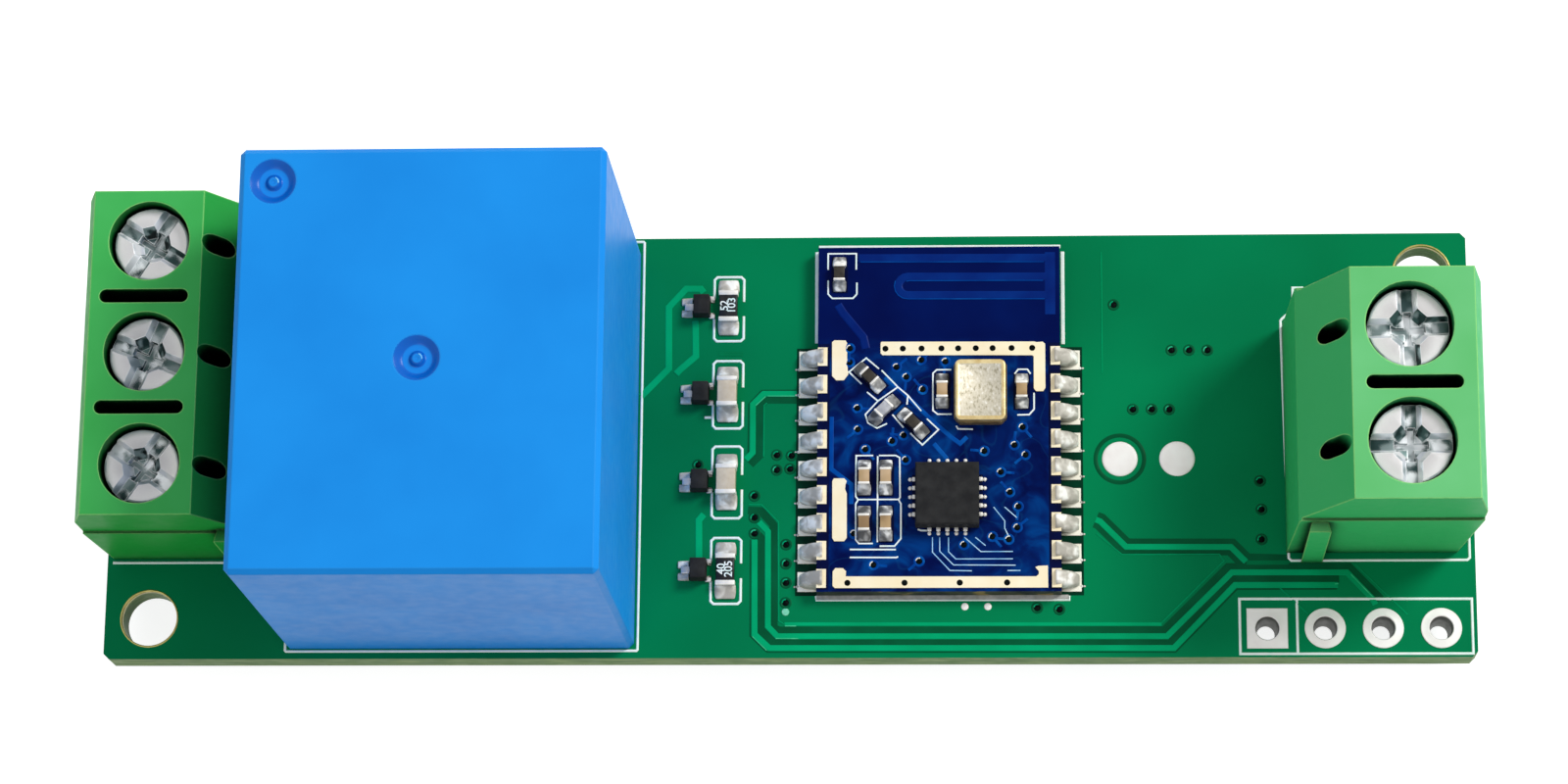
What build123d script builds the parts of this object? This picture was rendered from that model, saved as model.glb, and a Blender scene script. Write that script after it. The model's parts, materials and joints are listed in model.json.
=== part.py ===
from build123d import *
import os
from collections import namedtuple
from math import atan2, cos, degrees, radians, sin

# A relay module board: a long green circuit board that stands on the pins below it.
# On it are a sugar-cube relay, a three-pole and a two-pole screw terminal, a small radio
# module with its crystal and chip, four rows of surface parts and a row of header holes.
# X runs along the board towards the two-pole terminal, Y towards the antenna, Z up.
# The origin is under the middle of the board, at the level of the pin tips.

# Main board: its length follows from what stands on it and from these free spaces
board_width = 19.4
relay_gap = 0.85
row_space = 8.12
terminal_space = 9.93
board_thickness = 1.6
board_corner = 0.25
tail_length = 1.6
mount_hole_d = 2.5
mount_inset_x = 2.0
mount_inset_y = 1.85
pin_play = 0.1

# Header row: one square pad, then round ones
header_count = 4
header_pitch = 2.54
header_inset_x = 1.58
header_inset_y = 1.29
header_hole_d = 1.05
header_ring_d = 1.8
barrel_wall = 0.08
plating = 0.06

# Two bare test pads
test_pad_d = 1.6
test_pad_pitch = 2.54
test_pad_gap = 2.63
test_pad_y = -0.7

# Relay case
relay_y = -0.05
relay_length = 18.4
relay_width = 15.6
relay_height = 15.8
relay_wall = 0.8
relay_roof = 0.9
relay_draft = 0.05
relay_edge = 0.22
dimple_d = 2.0
dimple_floor_d = 1.3
dimple_depth = 0.3
nipple_d = 0.6
vent_inset = 1.45

# Relay works
relay_base_t = 1.4
relay_base_up = 0.3
seat_gap = 0.05
yoke_t = 1.2
yoke_w = 8.0
yoke_play = 0.5
core_d = 4.0
pole_d = 6.0
pole_t = 0.7
coil_play = 1.1
bobbin_flange_t = 0.7
bobbin_flange_l = 10.4
bobbin_tube_wall = 0.6
coil_d = 9.8
armature_t = 0.9
armature_w = 8.4
armature_reach = 0.6
pole_gap = 0.6
hinge_gap = 0.05
blade_t = 0.2
blade_w = 3.6
contact_d = 1.8
contact_t = 0.3
contact_gap = 0.85
closed_gap = 0.05
arm_play = 0.25
fixed_arm_t = 0.4
fixed_arm_w = 1.8
coil_pin_w = 0.6
common_pin_w = 1.0
contact_pin_w = 1.1
pin_inset = 1.0
contact_inset = 1.35

# Screw terminals: what the two of them share
chamfer_out = 0.5
ledge_step = 0.12
rib_w = 0.95
rib_root_w = 0.7
rib_out = 0.45
groove_play = 0.1
head_sink = 0.6
head_play = 0.05
thread_play = 0.05
cage_play = 0.1
cage_corner = 0.35
cage_rest_up = 0.2
tongue_play = 0.05
leg_t = 0.5
leg_pin_w = 0.9
recess_depth = 0.6
recess_w = 0.65

# Left terminal, three poles
left_poles = 3
left_pitch = 5.0
left_end = 2.4
left_y = 2.26
left_depth = 7.35
left_height = 8.5
left_lean = 0.3
left_shoulder_z = 7.0
left_ledge_z = 5.3
left_top_w = 4.85
left_slope_z = 5.6
left_back_lean = 0.2
left_screw_u = 3.0
left_well_d = 3.55
left_head_d = 3.3
left_head_h = 1.3
left_shank_d = 2.5
left_slot_u = 2.87
left_slot_l = 3.9
left_slot_w = 0.6
left_slot_depth = 4.0
left_test_u = 5.9
left_test_l = 1.15
left_test_w = 0.85
left_test_floor_z = 4.2
left_rib_u = 6.3
left_entry_w = 3.0
left_entry_low_z = 0.5
left_entry_high_z = 4.4
left_front_wall = 0.9
left_chamber_w = 3.5
left_chamber_end = 5.0
left_chamber_z = 6.0
left_cage_l = 3.0
left_cage_w = 3.3
left_cage_h = 3.9
left_cage_side = 0.3
left_cage_floor = 0.45
left_cage_roof = 0.8
left_tongue_t = 0.5
left_recess_turns = (58, 68, 55)

# Right terminal, two poles
right_poles = 2
right_pitch = 5.08
right_end = 2.65
right_y = 0.18
right_face_inset = 0.2
right_depth = 8.1
right_height = 10.1
right_lean = 0.6
right_shoulder_z = 7.6
right_ledge_z = 6.4
right_top_w = 5.3
right_slope_z = 6.2
right_back_lean = 0.2
right_screw_u = 3.3
right_well_d = 3.75
right_head_d = 3.5
right_head_h = 1.6
right_shank_d = 3.0
right_slot_u = 3.15
right_slot_l = 4.1
right_slot_w = 0.6
right_slot_depth = 4.5
right_test_u = 6.45
right_test_l = 1.2
right_test_w = 0.85
right_test_floor_z = 5.0
right_rib_u = 7.0
right_entry_w = 3.1
right_entry_low_z = 0.5
right_entry_high_z = 5.0
right_front_wall = 1.0
right_chamber_w = 4.0
right_chamber_end = 5.65
right_chamber_z = 7.2
right_cage_l = 3.5
right_cage_w = 3.8
right_cage_h = 4.6
right_cage_side = 0.3
right_cage_floor = 0.5
right_cage_roof = 0.9
right_tongue_t = 0.6
right_recess_turns = (2, 0)

# Solder cones under the board
cone_pad_d = 2.1
cone_sides = 12
cone_tip_d = 1.3
cone_height = 0.9
cone_foot = 0.02

# Radio module
radio_y = 1.05
radio_width = 10.85
radio_length = 15.85
radio_thickness = 0.8
edge_pad_count = 9
edge_pad_pitch = 1.27
edge_pad_y = -2.25
edge_pad_w = 0.85
edge_pad_l = 0.43
fillet_reach = 1.0
fillet_toe = 0.1
fillet_knee = 0.4
shield_t = 0.05

# Radio chip and crystal, placed from the middle of the module
chip_x = 0.38
chip_y = -3.65
chip_size = 2.82
chip_height = 0.85
chip_standoff = 0.05
lead_count = 5
lead_pitch = 0.4
lead_w = 0.22
lead_out = 0.35
lead_t = 0.2
crystal_x = 1.86
crystal_y = 1.1
crystal_w = 2.36
crystal_l = 2.9
crystal_base_t = 0.45
crystal_lid_inset = 0.05
crystal_lid_t = 0.3
crystal_corner = 0.25

# Small chip parts on the module
mini_w = 0.62
mini_l = 1.3
mini_h = 0.5
mini_cap = 0.3
mini_end_w = 0.68
mini_end_l = 1.7

# Four rows of surface parts beside the relay
row_count = 4
row_first_y = 6.4
row_pitch = 4.05
row_to_transistor = 1.2
resistor_w = 0.85
resistor_l = 1.6
resistor_h = 0.45
resistor_end = 0.3
capacitor_w = 0.88
capacitor_l = 1.6
capacitor_h = 0.8
capacitor_end = 0.32
chip_foot = 0.45
foot_wrap = 0.04
transistor_gap = 2.83
transistor_w = 0.8
transistor_l = 1.1
transistor_h = 0.7
transistor_draft = 6
transistor_lead_t = 0.12
transistor_lead_w = 0.5
transistor_lead_l = 0.5
transistor_pair_w = 0.25
transistor_pair_l = 0.18

# Levels and middle lines that follow from the sizes above
board_length = (
    left_depth + relay_gap + relay_width + row_space + radio_width
    + terminal_space + right_depth + right_face_inset
)
board_top = tail_length + board_thickness
half_length = board_length / 2
half_width = board_width / 2
header_last_x = half_length - header_inset_x
header_mid_x = header_last_x - header_pitch * (header_count - 1) / 2
header_y = header_inset_y - half_width
relay_x = left_depth - half_length + relay_gap + relay_width / 2
transistor_x = relay_x + relay_width / 2 + transistor_gap
row_x = transistor_x + row_to_transistor
radio_x = relay_x + relay_width / 2 + row_space + radio_width / 2
radio_top = board_top + radio_thickness
test_pad_x = radio_x + radio_width / 2 + test_pad_gap

# Room inside the relay's case, and the middle lines of its works
cavity_w = relay_width - 2 * relay_wall
cavity_l = relay_length - 2 * relay_wall
cavity_top = board_top + relay_height - relay_roof
yoke_y = relay_y - cavity_l / 2 + yoke_play
hinge_y = yoke_y + yoke_t
core_y = hinge_y + coil_play + bobbin_flange_l / 2
pin_x = cavity_w / 2 - pin_inset
coil_pin_y = core_y - bobbin_flange_l / 2 + coil_pin_w
contact_y = relay_y + cavity_l / 2 - contact_inset
common_pin_y = yoke_y + yoke_t / 2

os.makedirs("parts", exist_ok=True)


def save(piece, name):
    """Label a finished piece and write it as its own file."""
    piece.part.label = name
    export_step(piece.part, "parts/" + name + ".step")


# Terminal layout: u runs from the wire side towards the middle of the board
Terminal = namedtuple(
    "Terminal",
    "side face_x y poles pitch end depth height lean shoulder_z ledge_z top_w slope_z back_lean "
    "screw_u well_d head_d head_h shank_d slot_u slot_l slot_w slot_depth test_u test_l test_w test_floor_z "
    "rib_u entry_w entry_low_z entry_high_z front_wall chamber_w chamber_end chamber_z cage_l cage_w "
    "cage_h cage_side cage_floor cage_roof tongue_t recess_turns",
)

left = Terminal(
    side=1, face_x=-half_length, y=left_y, poles=left_poles, pitch=left_pitch, end=left_end,
    depth=left_depth, height=left_height, lean=left_lean, shoulder_z=left_shoulder_z,
    ledge_z=left_ledge_z, top_w=left_top_w, slope_z=left_slope_z, back_lean=left_back_lean,
    screw_u=left_screw_u, well_d=left_well_d, head_d=left_head_d, head_h=left_head_h,
    shank_d=left_shank_d, slot_u=left_slot_u, slot_l=left_slot_l, slot_w=left_slot_w,
    slot_depth=left_slot_depth, test_u=left_test_u, test_l=left_test_l, test_w=left_test_w,
    test_floor_z=left_test_floor_z, rib_u=left_rib_u, entry_w=left_entry_w,
    entry_low_z=left_entry_low_z, entry_high_z=left_entry_high_z, front_wall=left_front_wall,
    chamber_w=left_chamber_w, chamber_end=left_chamber_end, chamber_z=left_chamber_z,
    cage_l=left_cage_l, cage_w=left_cage_w, cage_h=left_cage_h, cage_side=left_cage_side,
    cage_floor=left_cage_floor, cage_roof=left_cage_roof, tongue_t=left_tongue_t,
    recess_turns=left_recess_turns,
)
right = Terminal(
    side=-1, face_x=half_length - right_face_inset, y=right_y, poles=right_poles,
    pitch=right_pitch, end=right_end, depth=right_depth, height=right_height, lean=right_lean,
    shoulder_z=right_shoulder_z, ledge_z=right_ledge_z, top_w=right_top_w,
    slope_z=right_slope_z, back_lean=right_back_lean, screw_u=right_screw_u,
    well_d=right_well_d, head_d=right_head_d, head_h=right_head_h, shank_d=right_shank_d,
    slot_u=right_slot_u, slot_l=right_slot_l, slot_w=right_slot_w, slot_depth=right_slot_depth,
    test_u=right_test_u, test_l=right_test_l, test_w=right_test_w, test_floor_z=right_test_floor_z,
    rib_u=right_rib_u, entry_w=right_entry_w, entry_low_z=right_entry_low_z,
    entry_high_z=right_entry_high_z, front_wall=right_front_wall, chamber_w=right_chamber_w,
    chamber_end=right_chamber_end, chamber_z=right_chamber_z, cage_l=right_cage_l,
    cage_w=right_cage_w, cage_h=right_cage_h, cage_side=right_cage_side,
    cage_floor=right_cage_floor, cage_roof=right_cage_roof, tongue_t=right_tongue_t,
    recess_turns=right_recess_turns,
)


def terminal_x(t, u):
    """The X of a point that lies u inside the terminal's wire face."""
    return t.face_x + t.side * u


def pole_ys(t):
    """The Y of each pole, the one nearest the antenna side first."""
    return [t.y + t.pitch * ((t.poles - 1) / 2 - i) for i in range(t.poles)]


def terminal_length(t):
    """The housing's length along Y."""
    return t.pitch * (t.poles - 1) + 2 * t.end


def leg_u(t):
    """Where the middle of a terminal's vertical leg stands, against the chamber's end."""
    return t.chamber_end - leg_t / 2


def relay_pins():
    """Place and section of the relay's five pins: x, y, width, depth."""
    pins = [(relay_x, common_pin_y, common_pin_w, fixed_arm_t)]
    for side in (-1, 1):
        pins.append((relay_x + side * pin_x, coil_pin_y, coil_pin_w, coil_pin_w))
        pins.append((relay_x + side * pin_x, contact_y, contact_pin_w, fixed_arm_t))
    return pins


def terminal_legs(t):
    """Place and section of one terminal's pins: x, y, width, depth."""
    return [(terminal_x(t, leg_u(t)), y, leg_t, leg_pin_w) for y in pole_ys(t)]


board_pins = relay_pins() + terminal_legs(left) + terminal_legs(right)


# Main board with its mounting, header and pin holes
with BuildPart() as main_board:
    with BuildSketch(Plane.XY.offset(tail_length)):
        Rectangle(board_length, board_width)
        chamfer(vertices(), length=board_corner)
        with Locations(
            (mount_inset_x - half_length, mount_inset_y - half_width),
            (half_length - mount_inset_x, half_width - mount_inset_y),
        ):
            Circle(mount_hole_d / 2, mode=Mode.SUBTRACT)
        with Locations((header_mid_x, header_y)):
            with GridLocations(header_pitch, 1, header_count, 1):
                Circle(header_hole_d / 2 + barrel_wall, mode=Mode.SUBTRACT)
        for x, y, width, depth in board_pins:
            with Locations((x, y)):
                Rectangle(width + 2 * pin_play, depth + 2 * pin_play, mode=Mode.SUBTRACT)
    extrude(amount=board_thickness)
save(main_board, "main_board")


# Plated header holes: a ring on each face joined by a barrel
with BuildPart() as header_pads:
    for level in (tail_length - plating, board_top):
        with BuildSketch(Plane.XY.offset(level)):
            with Locations((header_mid_x, header_y)):
                with GridLocations(header_pitch, 1, header_count, 1):
                    Circle(header_ring_d / 2)
            with Locations((header_last_x - header_pitch * (header_count - 1), header_y)):
                Rectangle(header_ring_d, header_ring_d)
        extrude(amount=plating)
    with BuildSketch(Plane.XY.offset(tail_length)):
        with Locations((header_mid_x, header_y)):
            with GridLocations(header_pitch, 1, header_count, 1):
                Circle(header_hole_d / 2 + barrel_wall)
    extrude(amount=board_thickness)
    with Locations((header_mid_x, header_y, board_top + plating)):
        with GridLocations(header_pitch, 1, header_count, 1):
            Hole(header_hole_d / 2, depth=board_thickness + 2 * plating)
save(header_pads, "header_pads")


# Two round test pads of bare tinned copper
with BuildPart() as test_pads:
    with BuildSketch(Plane.XY.offset(board_top)):
        with Locations((test_pad_x, test_pad_y), (test_pad_x + test_pad_pitch, test_pad_y)):
            Circle(test_pad_d / 2)
    extrude(amount=plating)
save(test_pads, "test_pads")


# Relay case: a moulded cover with a little draft, softened edges and two round dimples
relay_top = board_top + relay_height
draft_angle = degrees(atan2(relay_draft, relay_height))
vent_spot = (
    relay_x - relay_width / 2 + relay_draft + vent_inset,
    relay_y + relay_length / 2 - relay_draft - vent_inset,
)

with BuildPart() as relay_case:
    with BuildSketch(Plane.XY.offset(board_top)):
        with Locations((relay_x, relay_y)):
            Rectangle(relay_width, relay_length)
    extrude(amount=relay_height, taper=draft_angle)
    upright = relay_case.edges().filter_by_position(
        Axis.Z, board_top + 0.1 * relay_height, board_top + 0.9 * relay_height
    )
    top_rim = relay_case.faces().sort_by(Axis.Z)[-1].edges()
    chamfer(upright + top_rim, length=relay_edge)
    with BuildSketch(Plane.XY.offset(board_top)):
        with Locations((relay_x, relay_y)):
            Rectangle(cavity_w, cavity_l)
    extrude(amount=relay_height - relay_roof, mode=Mode.SUBTRACT)
    # the dish of the vent near the corner and of the moulding gate in the middle
    for spot in (vent_spot, (relay_x, relay_y)):
        with BuildSketch(Plane((spot[0], spot[1], relay_top), x_dir=(1, 0, 0), z_dir=(0, -1, 0))):
            with BuildLine():
                Polyline(
                    (0, -dimple_depth / 2),
                    (nipple_d / 4, -dimple_depth / 2),
                    (nipple_d / 2, -dimple_depth),
                    (dimple_floor_d / 2, -dimple_depth),
                    (dimple_d / 2, 0),
                    (0, 0),
                    close=True,
                )
            make_face()
        revolve(axis=Axis((spot[0], spot[1], 0), (0, 0, 1)), mode=Mode.SUBTRACT)
save(relay_case, "relay_case")


# Levels inside the relay: the contacts are placed from the roof down, the base from the
# board up, and the bobbin takes the height between them
base_low = board_top + relay_base_up
base_high = base_low + relay_base_t
leg_high = base_high + yoke_t
resting_arm_low = cavity_top - arm_play - fixed_arm_t
moving_high = resting_arm_low - contact_t - closed_gap
blade_high = moving_high - contact_t
blade_low = blade_high - blade_t
moving_low = blade_low - contact_t
working_arm_low = moving_low - contact_gap - contact_t - fixed_arm_t
armature_low = blade_low - armature_t
yoke_top = armature_low - hinge_gap
pole_top = armature_low - pole_gap
bobbin_top = pole_top - pole_t
bobbin_h = bobbin_top - leg_high
core_at = (relay_x, core_y)
armature_end = core_y + pole_d / 2 + armature_reach


# Base plate that closes the case from below
with BuildPart() as relay_base:
    with BuildSketch(Plane.XY.offset(base_low)):
        with Locations((relay_x, relay_y)):
            Rectangle(cavity_w - 2 * seat_gap, cavity_l - 2 * seat_gap)
        for x, y, width, depth in relay_pins():
            with Locations((x, y)):
                Rectangle(width + 2 * seat_gap, depth + 2 * seat_gap, mode=Mode.SUBTRACT)
    extrude(amount=relay_base_t)
save(relay_base, "relay_base")

# Yoke: a bent steel strip, one leg under the coil and one behind it
with BuildPart() as relay_yoke:
    with BuildSketch(Plane((relay_x, 0, 0), x_dir=(0, 1, 0), z_dir=(1, 0, 0))):
        with BuildLine():
            Polyline(
                (yoke_y, base_high),
                (core_y + pole_d / 2, base_high),
                (core_y + pole_d / 2, leg_high),
                (hinge_y, leg_high),
                (hinge_y, yoke_top),
                (yoke_y, yoke_top),
                close=True,
            )
        make_face()
    extrude(amount=yoke_w / 2, both=True)
    bend = relay_yoke.edges().filter_by(Axis.X).group_by(Axis.Z)[0].sort_by(Axis.Y)[0]
    fillet(bend, radius=yoke_t / 2)
    with BuildSketch(Plane.XY.offset(base_high)):
        with Locations(core_at):
            Circle(core_d / 2)
    extrude(amount=yoke_t, mode=Mode.SUBTRACT)
save(relay_yoke, "relay_yoke")

# Core: a steel rivet with a wide pole face
with BuildPart() as relay_core:
    with BuildSketch(Plane.XY.offset(base_high)):
        with Locations(core_at):
            Circle(core_d / 2)
    extrude(amount=bobbin_top - base_high)
    with BuildSketch(Plane.XY.offset(bobbin_top)):
        with Locations(core_at):
            Circle(pole_d / 2)
    extrude(amount=pole_t)
save(relay_core, "relay_core")

# Bobbin: a tube between two flanges, the lower one wide enough to hold the coil pins
tube_d = core_d + 2 * seat_gap + 2 * bobbin_tube_wall
with BuildPart() as relay_bobbin:
    with BuildSketch(Plane.XY.offset(leg_high)):
        with Locations(core_at):
            Rectangle(2 * (pin_x + coil_pin_w), bobbin_flange_l)
    extrude(amount=bobbin_flange_t)
    with BuildSketch(Plane.XY.offset(leg_high)):
        with Locations(core_at):
            Circle(tube_d / 2)
    extrude(amount=bobbin_h)
    with BuildSketch(Plane.XY.offset(bobbin_top - bobbin_flange_t)):
        with Locations(core_at):
            Rectangle(bobbin_flange_l, bobbin_flange_l)
    extrude(amount=bobbin_flange_t)
    with BuildSketch(Plane.XY.offset(leg_high)):
        with Locations(core_at):
            Circle(core_d / 2 + seat_gap)
    extrude(amount=bobbin_h, mode=Mode.SUBTRACT)
save(relay_bobbin, "relay_bobbin")

# Coil: the whole winding as one ring
with BuildPart() as relay_coil:
    with BuildSketch(Plane.XY.offset(leg_high + bobbin_flange_t)):
        with Locations(core_at):
            Circle(coil_d / 2)
            Circle(tube_d / 2, mode=Mode.SUBTRACT)
    extrude(amount=bobbin_h - 2 * bobbin_flange_t)
save(relay_coil, "relay_coil")

# Armature: a flat steel plate that rocks on the yoke's top edge
with BuildPart() as relay_armature:
    with BuildSketch(Plane.XY.offset(armature_low)):
        with Locations((relay_x, (yoke_y + armature_end) / 2)):
            Rectangle(armature_w, armature_end - yoke_y)
    extrude(amount=armature_t)
save(relay_armature, "relay_armature")

# Contact blade: a thin strip on the armature that carries the moving contact
blade_start = core_y - pole_d / 2
blade_end = contact_y + contact_d / 2
with BuildPart() as relay_contact_blade:
    with BuildSketch(Plane.XY.offset(blade_low)):
        with Locations((relay_x, (blade_start + blade_end) / 2)):
            Rectangle(blade_w, blade_end - blade_start)
    extrude(amount=blade_t)
save(relay_contact_blade, "relay_contact_blade")

# Moving contact: a round button on each side of the blade
with BuildPart() as relay_moving_contact:
    for level in (moving_low, blade_high):
        with BuildSketch(Plane.XY.offset(level)):
            with Locations((relay_x, contact_y)):
                Circle(contact_d / 2)
        extrude(amount=contact_t)
save(relay_moving_contact, "relay_moving_contact")


def fixed_contact(side, arm_low, face_down):
    """A bent strip with its pin at one side and a contact over or under the moving one."""
    arm_start = relay_x - side * contact_d / 2
    arm_end = relay_x + side * (pin_x + contact_pin_w / 2)
    button_low = arm_low - contact_t if face_down else arm_low + fixed_arm_t
    with BuildPart() as piece:
        with BuildSketch(Plane.XY.offset(arm_low)):
            with Locations(((arm_start + arm_end) / 2, contact_y)):
                Rectangle(abs(arm_end - arm_start), fixed_arm_w)
        extrude(amount=fixed_arm_t)
        with BuildSketch(Plane.XY.offset(button_low)):
            with Locations((relay_x, contact_y)):
                Circle(contact_d / 2)
        extrude(amount=contact_t)
        with BuildSketch(Plane.XY):
            with Locations((relay_x + side * pin_x, contact_y)):
                Rectangle(contact_pin_w, fixed_arm_t)
        extrude(amount=arm_low)
    return piece


# Resting contact above the moving one, and working contact below it
save(fixed_contact(1, resting_arm_low, True), "relay_resting_contact")
save(fixed_contact(-1, working_arm_low, False), "relay_working_contact")

# Coil pins under the bobbin's lower flange
with BuildPart() as relay_coil_pins:
    with BuildSketch():
        with Locations(
            (relay_x - pin_x, coil_pin_y),
            (relay_x + pin_x, coil_pin_y),
        ):
            Rectangle(coil_pin_w, coil_pin_w)
    extrude(amount=leg_high)
save(relay_coil_pins, "relay_coil_pins")

# Common pin under the yoke
with BuildPart() as relay_common_pin:
    with BuildSketch():
        with Locations((relay_x, common_pin_y)):
            Rectangle(common_pin_w, fixed_arm_t)
    extrude(amount=base_high)
save(relay_common_pin, "relay_common_pin")


def housing_profile(t):
    """The block's side view: a lean wire face, a flat top and a slope behind it."""
    middle = Plane((t.face_x, t.y, board_top), x_dir=(t.side, 0, 0), z_dir=(0, -t.side, 0))
    with BuildSketch(middle) as profile:
        with BuildLine():
            Polyline(
                (t.lean, 0),
                (0, t.ledge_z),
                (0, t.shoulder_z),
                (chamfer_out, t.height),
                (chamfer_out + t.top_w, t.height),
                (t.depth - t.back_lean, t.slope_z),
                (t.depth, 0),
                close=True,
            )
        make_face()
    return profile.sketch


def dovetail(t, y, play):
    """The dovetail's section at an end wall, wider on its outer side."""
    root = rib_root_w / 2 + play
    outer = rib_w / 2 + play
    out = -rib_out - play
    back = 2 * ledge_step
    with BuildSketch(Plane((terminal_x(t, t.rib_u), y, board_top))) as section:
        with BuildLine():
            Polyline(
                (-root, back), (-root, 0), (-outer, out), (outer, out), (root, 0), (root, back), close=True
            )
        make_face()
    return section.sketch


def terminal_housing(t):
    """One terminal's green housing with its wells, slots, test holes and wire entries."""
    length = terminal_length(t)
    ys = pole_ys(t)
    head_seat = t.height - head_sink - t.head_h - head_play
    with BuildPart() as piece:
        extrude(housing_profile(t), amount=length / 2, both=True)
        # both ends step back a little above the ledge
        with BuildSketch(Plane.XY.offset(board_top + t.ledge_z)):
            for end in (-1, 1):
                with Locations((terminal_x(t, t.depth / 2), t.y + end * length / 2)):
                    Rectangle(2 * t.depth, 2 * ledge_step)
        extrude(amount=t.height, mode=Mode.SUBTRACT)
        # the dovetail rib on the front end and its groove in the far one
        extrude(dovetail(t, t.y - length / 2, 0), amount=t.slope_z)
        groove = dovetail(t, t.y + length / 2, groove_play)
        extrude(groove, amount=t.slope_z + groove_play, mode=Mode.SUBTRACT)
        # screw wells with the shank's hole below them
        with Locations([(terminal_x(t, t.screw_u), y, board_top + t.height) for y in ys]):
            CounterBoreHole(
                t.shank_d / 2 + groove_play, t.well_d / 2, t.height - head_seat, t.height - t.ledge_z
            )
        # the open slots between the poles
        with BuildSketch(Plane.XY.offset(board_top + t.height)):
            with Locations([(terminal_x(t, t.slot_u), y - t.pitch / 2) for y in ys[:-1]]):
                SlotOverall(t.slot_l, t.slot_w)
        extrude(amount=-t.slot_depth, mode=Mode.SUBTRACT)
        # test holes in the slope
        with BuildSketch(Plane.XY.offset(board_top + t.height)):
            with Locations([(terminal_x(t, t.test_u), y) for y in ys]):
                SlotOverall(t.test_l, t.test_w)
        extrude(amount=t.test_floor_z - t.height, mode=Mode.SUBTRACT)
        # cage chambers, open below, and the wire entries in the face
        chamber_mid = (t.front_wall + t.chamber_end) / 2
        with BuildSketch(Plane.XY.offset(board_top)):
            with Locations([(terminal_x(t, chamber_mid), y) for y in ys]):
                Rectangle(t.chamber_end - t.front_wall, t.chamber_w)
        extrude(amount=t.chamber_z, mode=Mode.SUBTRACT)
        face = Plane((t.face_x, 0, board_top), x_dir=(0, 1, 0), z_dir=(1, 0, 0))
        entry_h = t.entry_high_z - t.entry_low_z
        with BuildSketch(face):
            with Locations([(y, (t.entry_low_z + t.entry_high_z) / 2) for y in ys]):
                Rectangle(t.entry_w, entry_h)
        extrude(amount=t.front_wall + cage_play, both=True, mode=Mode.SUBTRACT)
    return piece


def terminal_screw(t, y, turn):
    """A captive screw: a flat head with a cross recess, and its shank."""
    x = terminal_x(t, t.screw_u)
    head_top = board_top + t.height - head_sink
    head_low = head_top - t.head_h
    shank_low = board_top + tongue_top(t) + tongue_play
    with BuildPart() as piece:
        with BuildSketch(Plane.XY.offset(head_low)):
            with Locations((x, y)):
                Circle(t.head_d / 2)
        extrude(amount=t.head_h)
        with BuildSketch(Plane.XY.offset(head_low)):
            with Locations((x, y)):
                Circle(t.shank_d / 2)
        extrude(amount=shank_low - head_low)
        with BuildSketch(Plane.XY.offset(head_top)):
            with Locations((x, y)):
                Rectangle(t.head_d + 1, recess_w, rotation=turn)
                Rectangle(t.head_d + 1, recess_w, rotation=turn + 90)
        extrude(amount=-recess_depth, mode=Mode.SUBTRACT)
    return piece


def tongue_top(t):
    """The height over the board of the fixed tongue's upper face."""
    return cage_rest_up + t.cage_h - t.cage_roof - tongue_play


def clamp_cage(t, y):
    """The rising cage: a rounded box tube with a threaded roof."""
    x = terminal_x(t, t.screw_u)
    low = board_top + cage_rest_up
    window_h = t.cage_h - t.cage_floor - t.cage_roof
    across = Plane((x, y, low), x_dir=(0, 1, 0), z_dir=(1, 0, 0))
    with BuildPart() as piece:
        with BuildSketch(across):
            with Locations((0, t.cage_h / 2)):
                Rectangle(t.cage_w, t.cage_h)
            chamfer(vertices(), length=cage_corner)
            with Locations((0, t.cage_floor + window_h / 2)):
                Rectangle(t.cage_w - 2 * t.cage_side, window_h, mode=Mode.SUBTRACT)
        extrude(amount=t.cage_l / 2, both=True)
        with BuildSketch(Plane.XY.offset(low + t.cage_h)):
            with Locations((x, y)):
                Circle(t.shank_d / 2 + thread_play)
        extrude(amount=-t.cage_roof, mode=Mode.SUBTRACT)
    return piece


def terminal_pins(t):
    """One bent strip for each pole: a tongue through the cage and a leg to its pin."""
    high = board_top + tongue_top(t)
    window_w = t.cage_w - 2 * t.cage_side
    tongue_start = t.screw_u - t.cage_l / 2 - cage_play
    with BuildPart() as piece:
        for y in pole_ys(t):
            with BuildSketch(Plane.XY.offset(high)):
                with Locations((terminal_x(t, (tongue_start + t.chamber_end) / 2), y)):
                    Rectangle(t.chamber_end - tongue_start, window_w - 2 * cage_play)
            extrude(amount=-t.tongue_t)
            with BuildSketch(Plane.XY.offset(high)):
                with Locations((terminal_x(t, leg_u(t)), y)):
                    Rectangle(leg_t, t.chamber_w)
            extrude(amount=board_top - high)
            with BuildSketch(Plane.XY):
                with Locations((terminal_x(t, leg_u(t)), y)):
                    Rectangle(leg_t, leg_pin_w)
            extrude(amount=board_top)
    return piece


# Both terminals: housing, pins, and a screw and a cage for each pole
for side_name, t in (("left", left), ("right", right)):
    save(terminal_housing(t), side_name + "_terminal_housing")
    save(terminal_pins(t), side_name + "_terminal_pins")
    for i, y in enumerate(pole_ys(t)):
        save(terminal_screw(t, y, t.recess_turns[i]), side_name + "_screw_" + str(i + 1))
        save(clamp_cage(t, y), side_name + "_clamp_" + str(i + 1))


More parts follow.
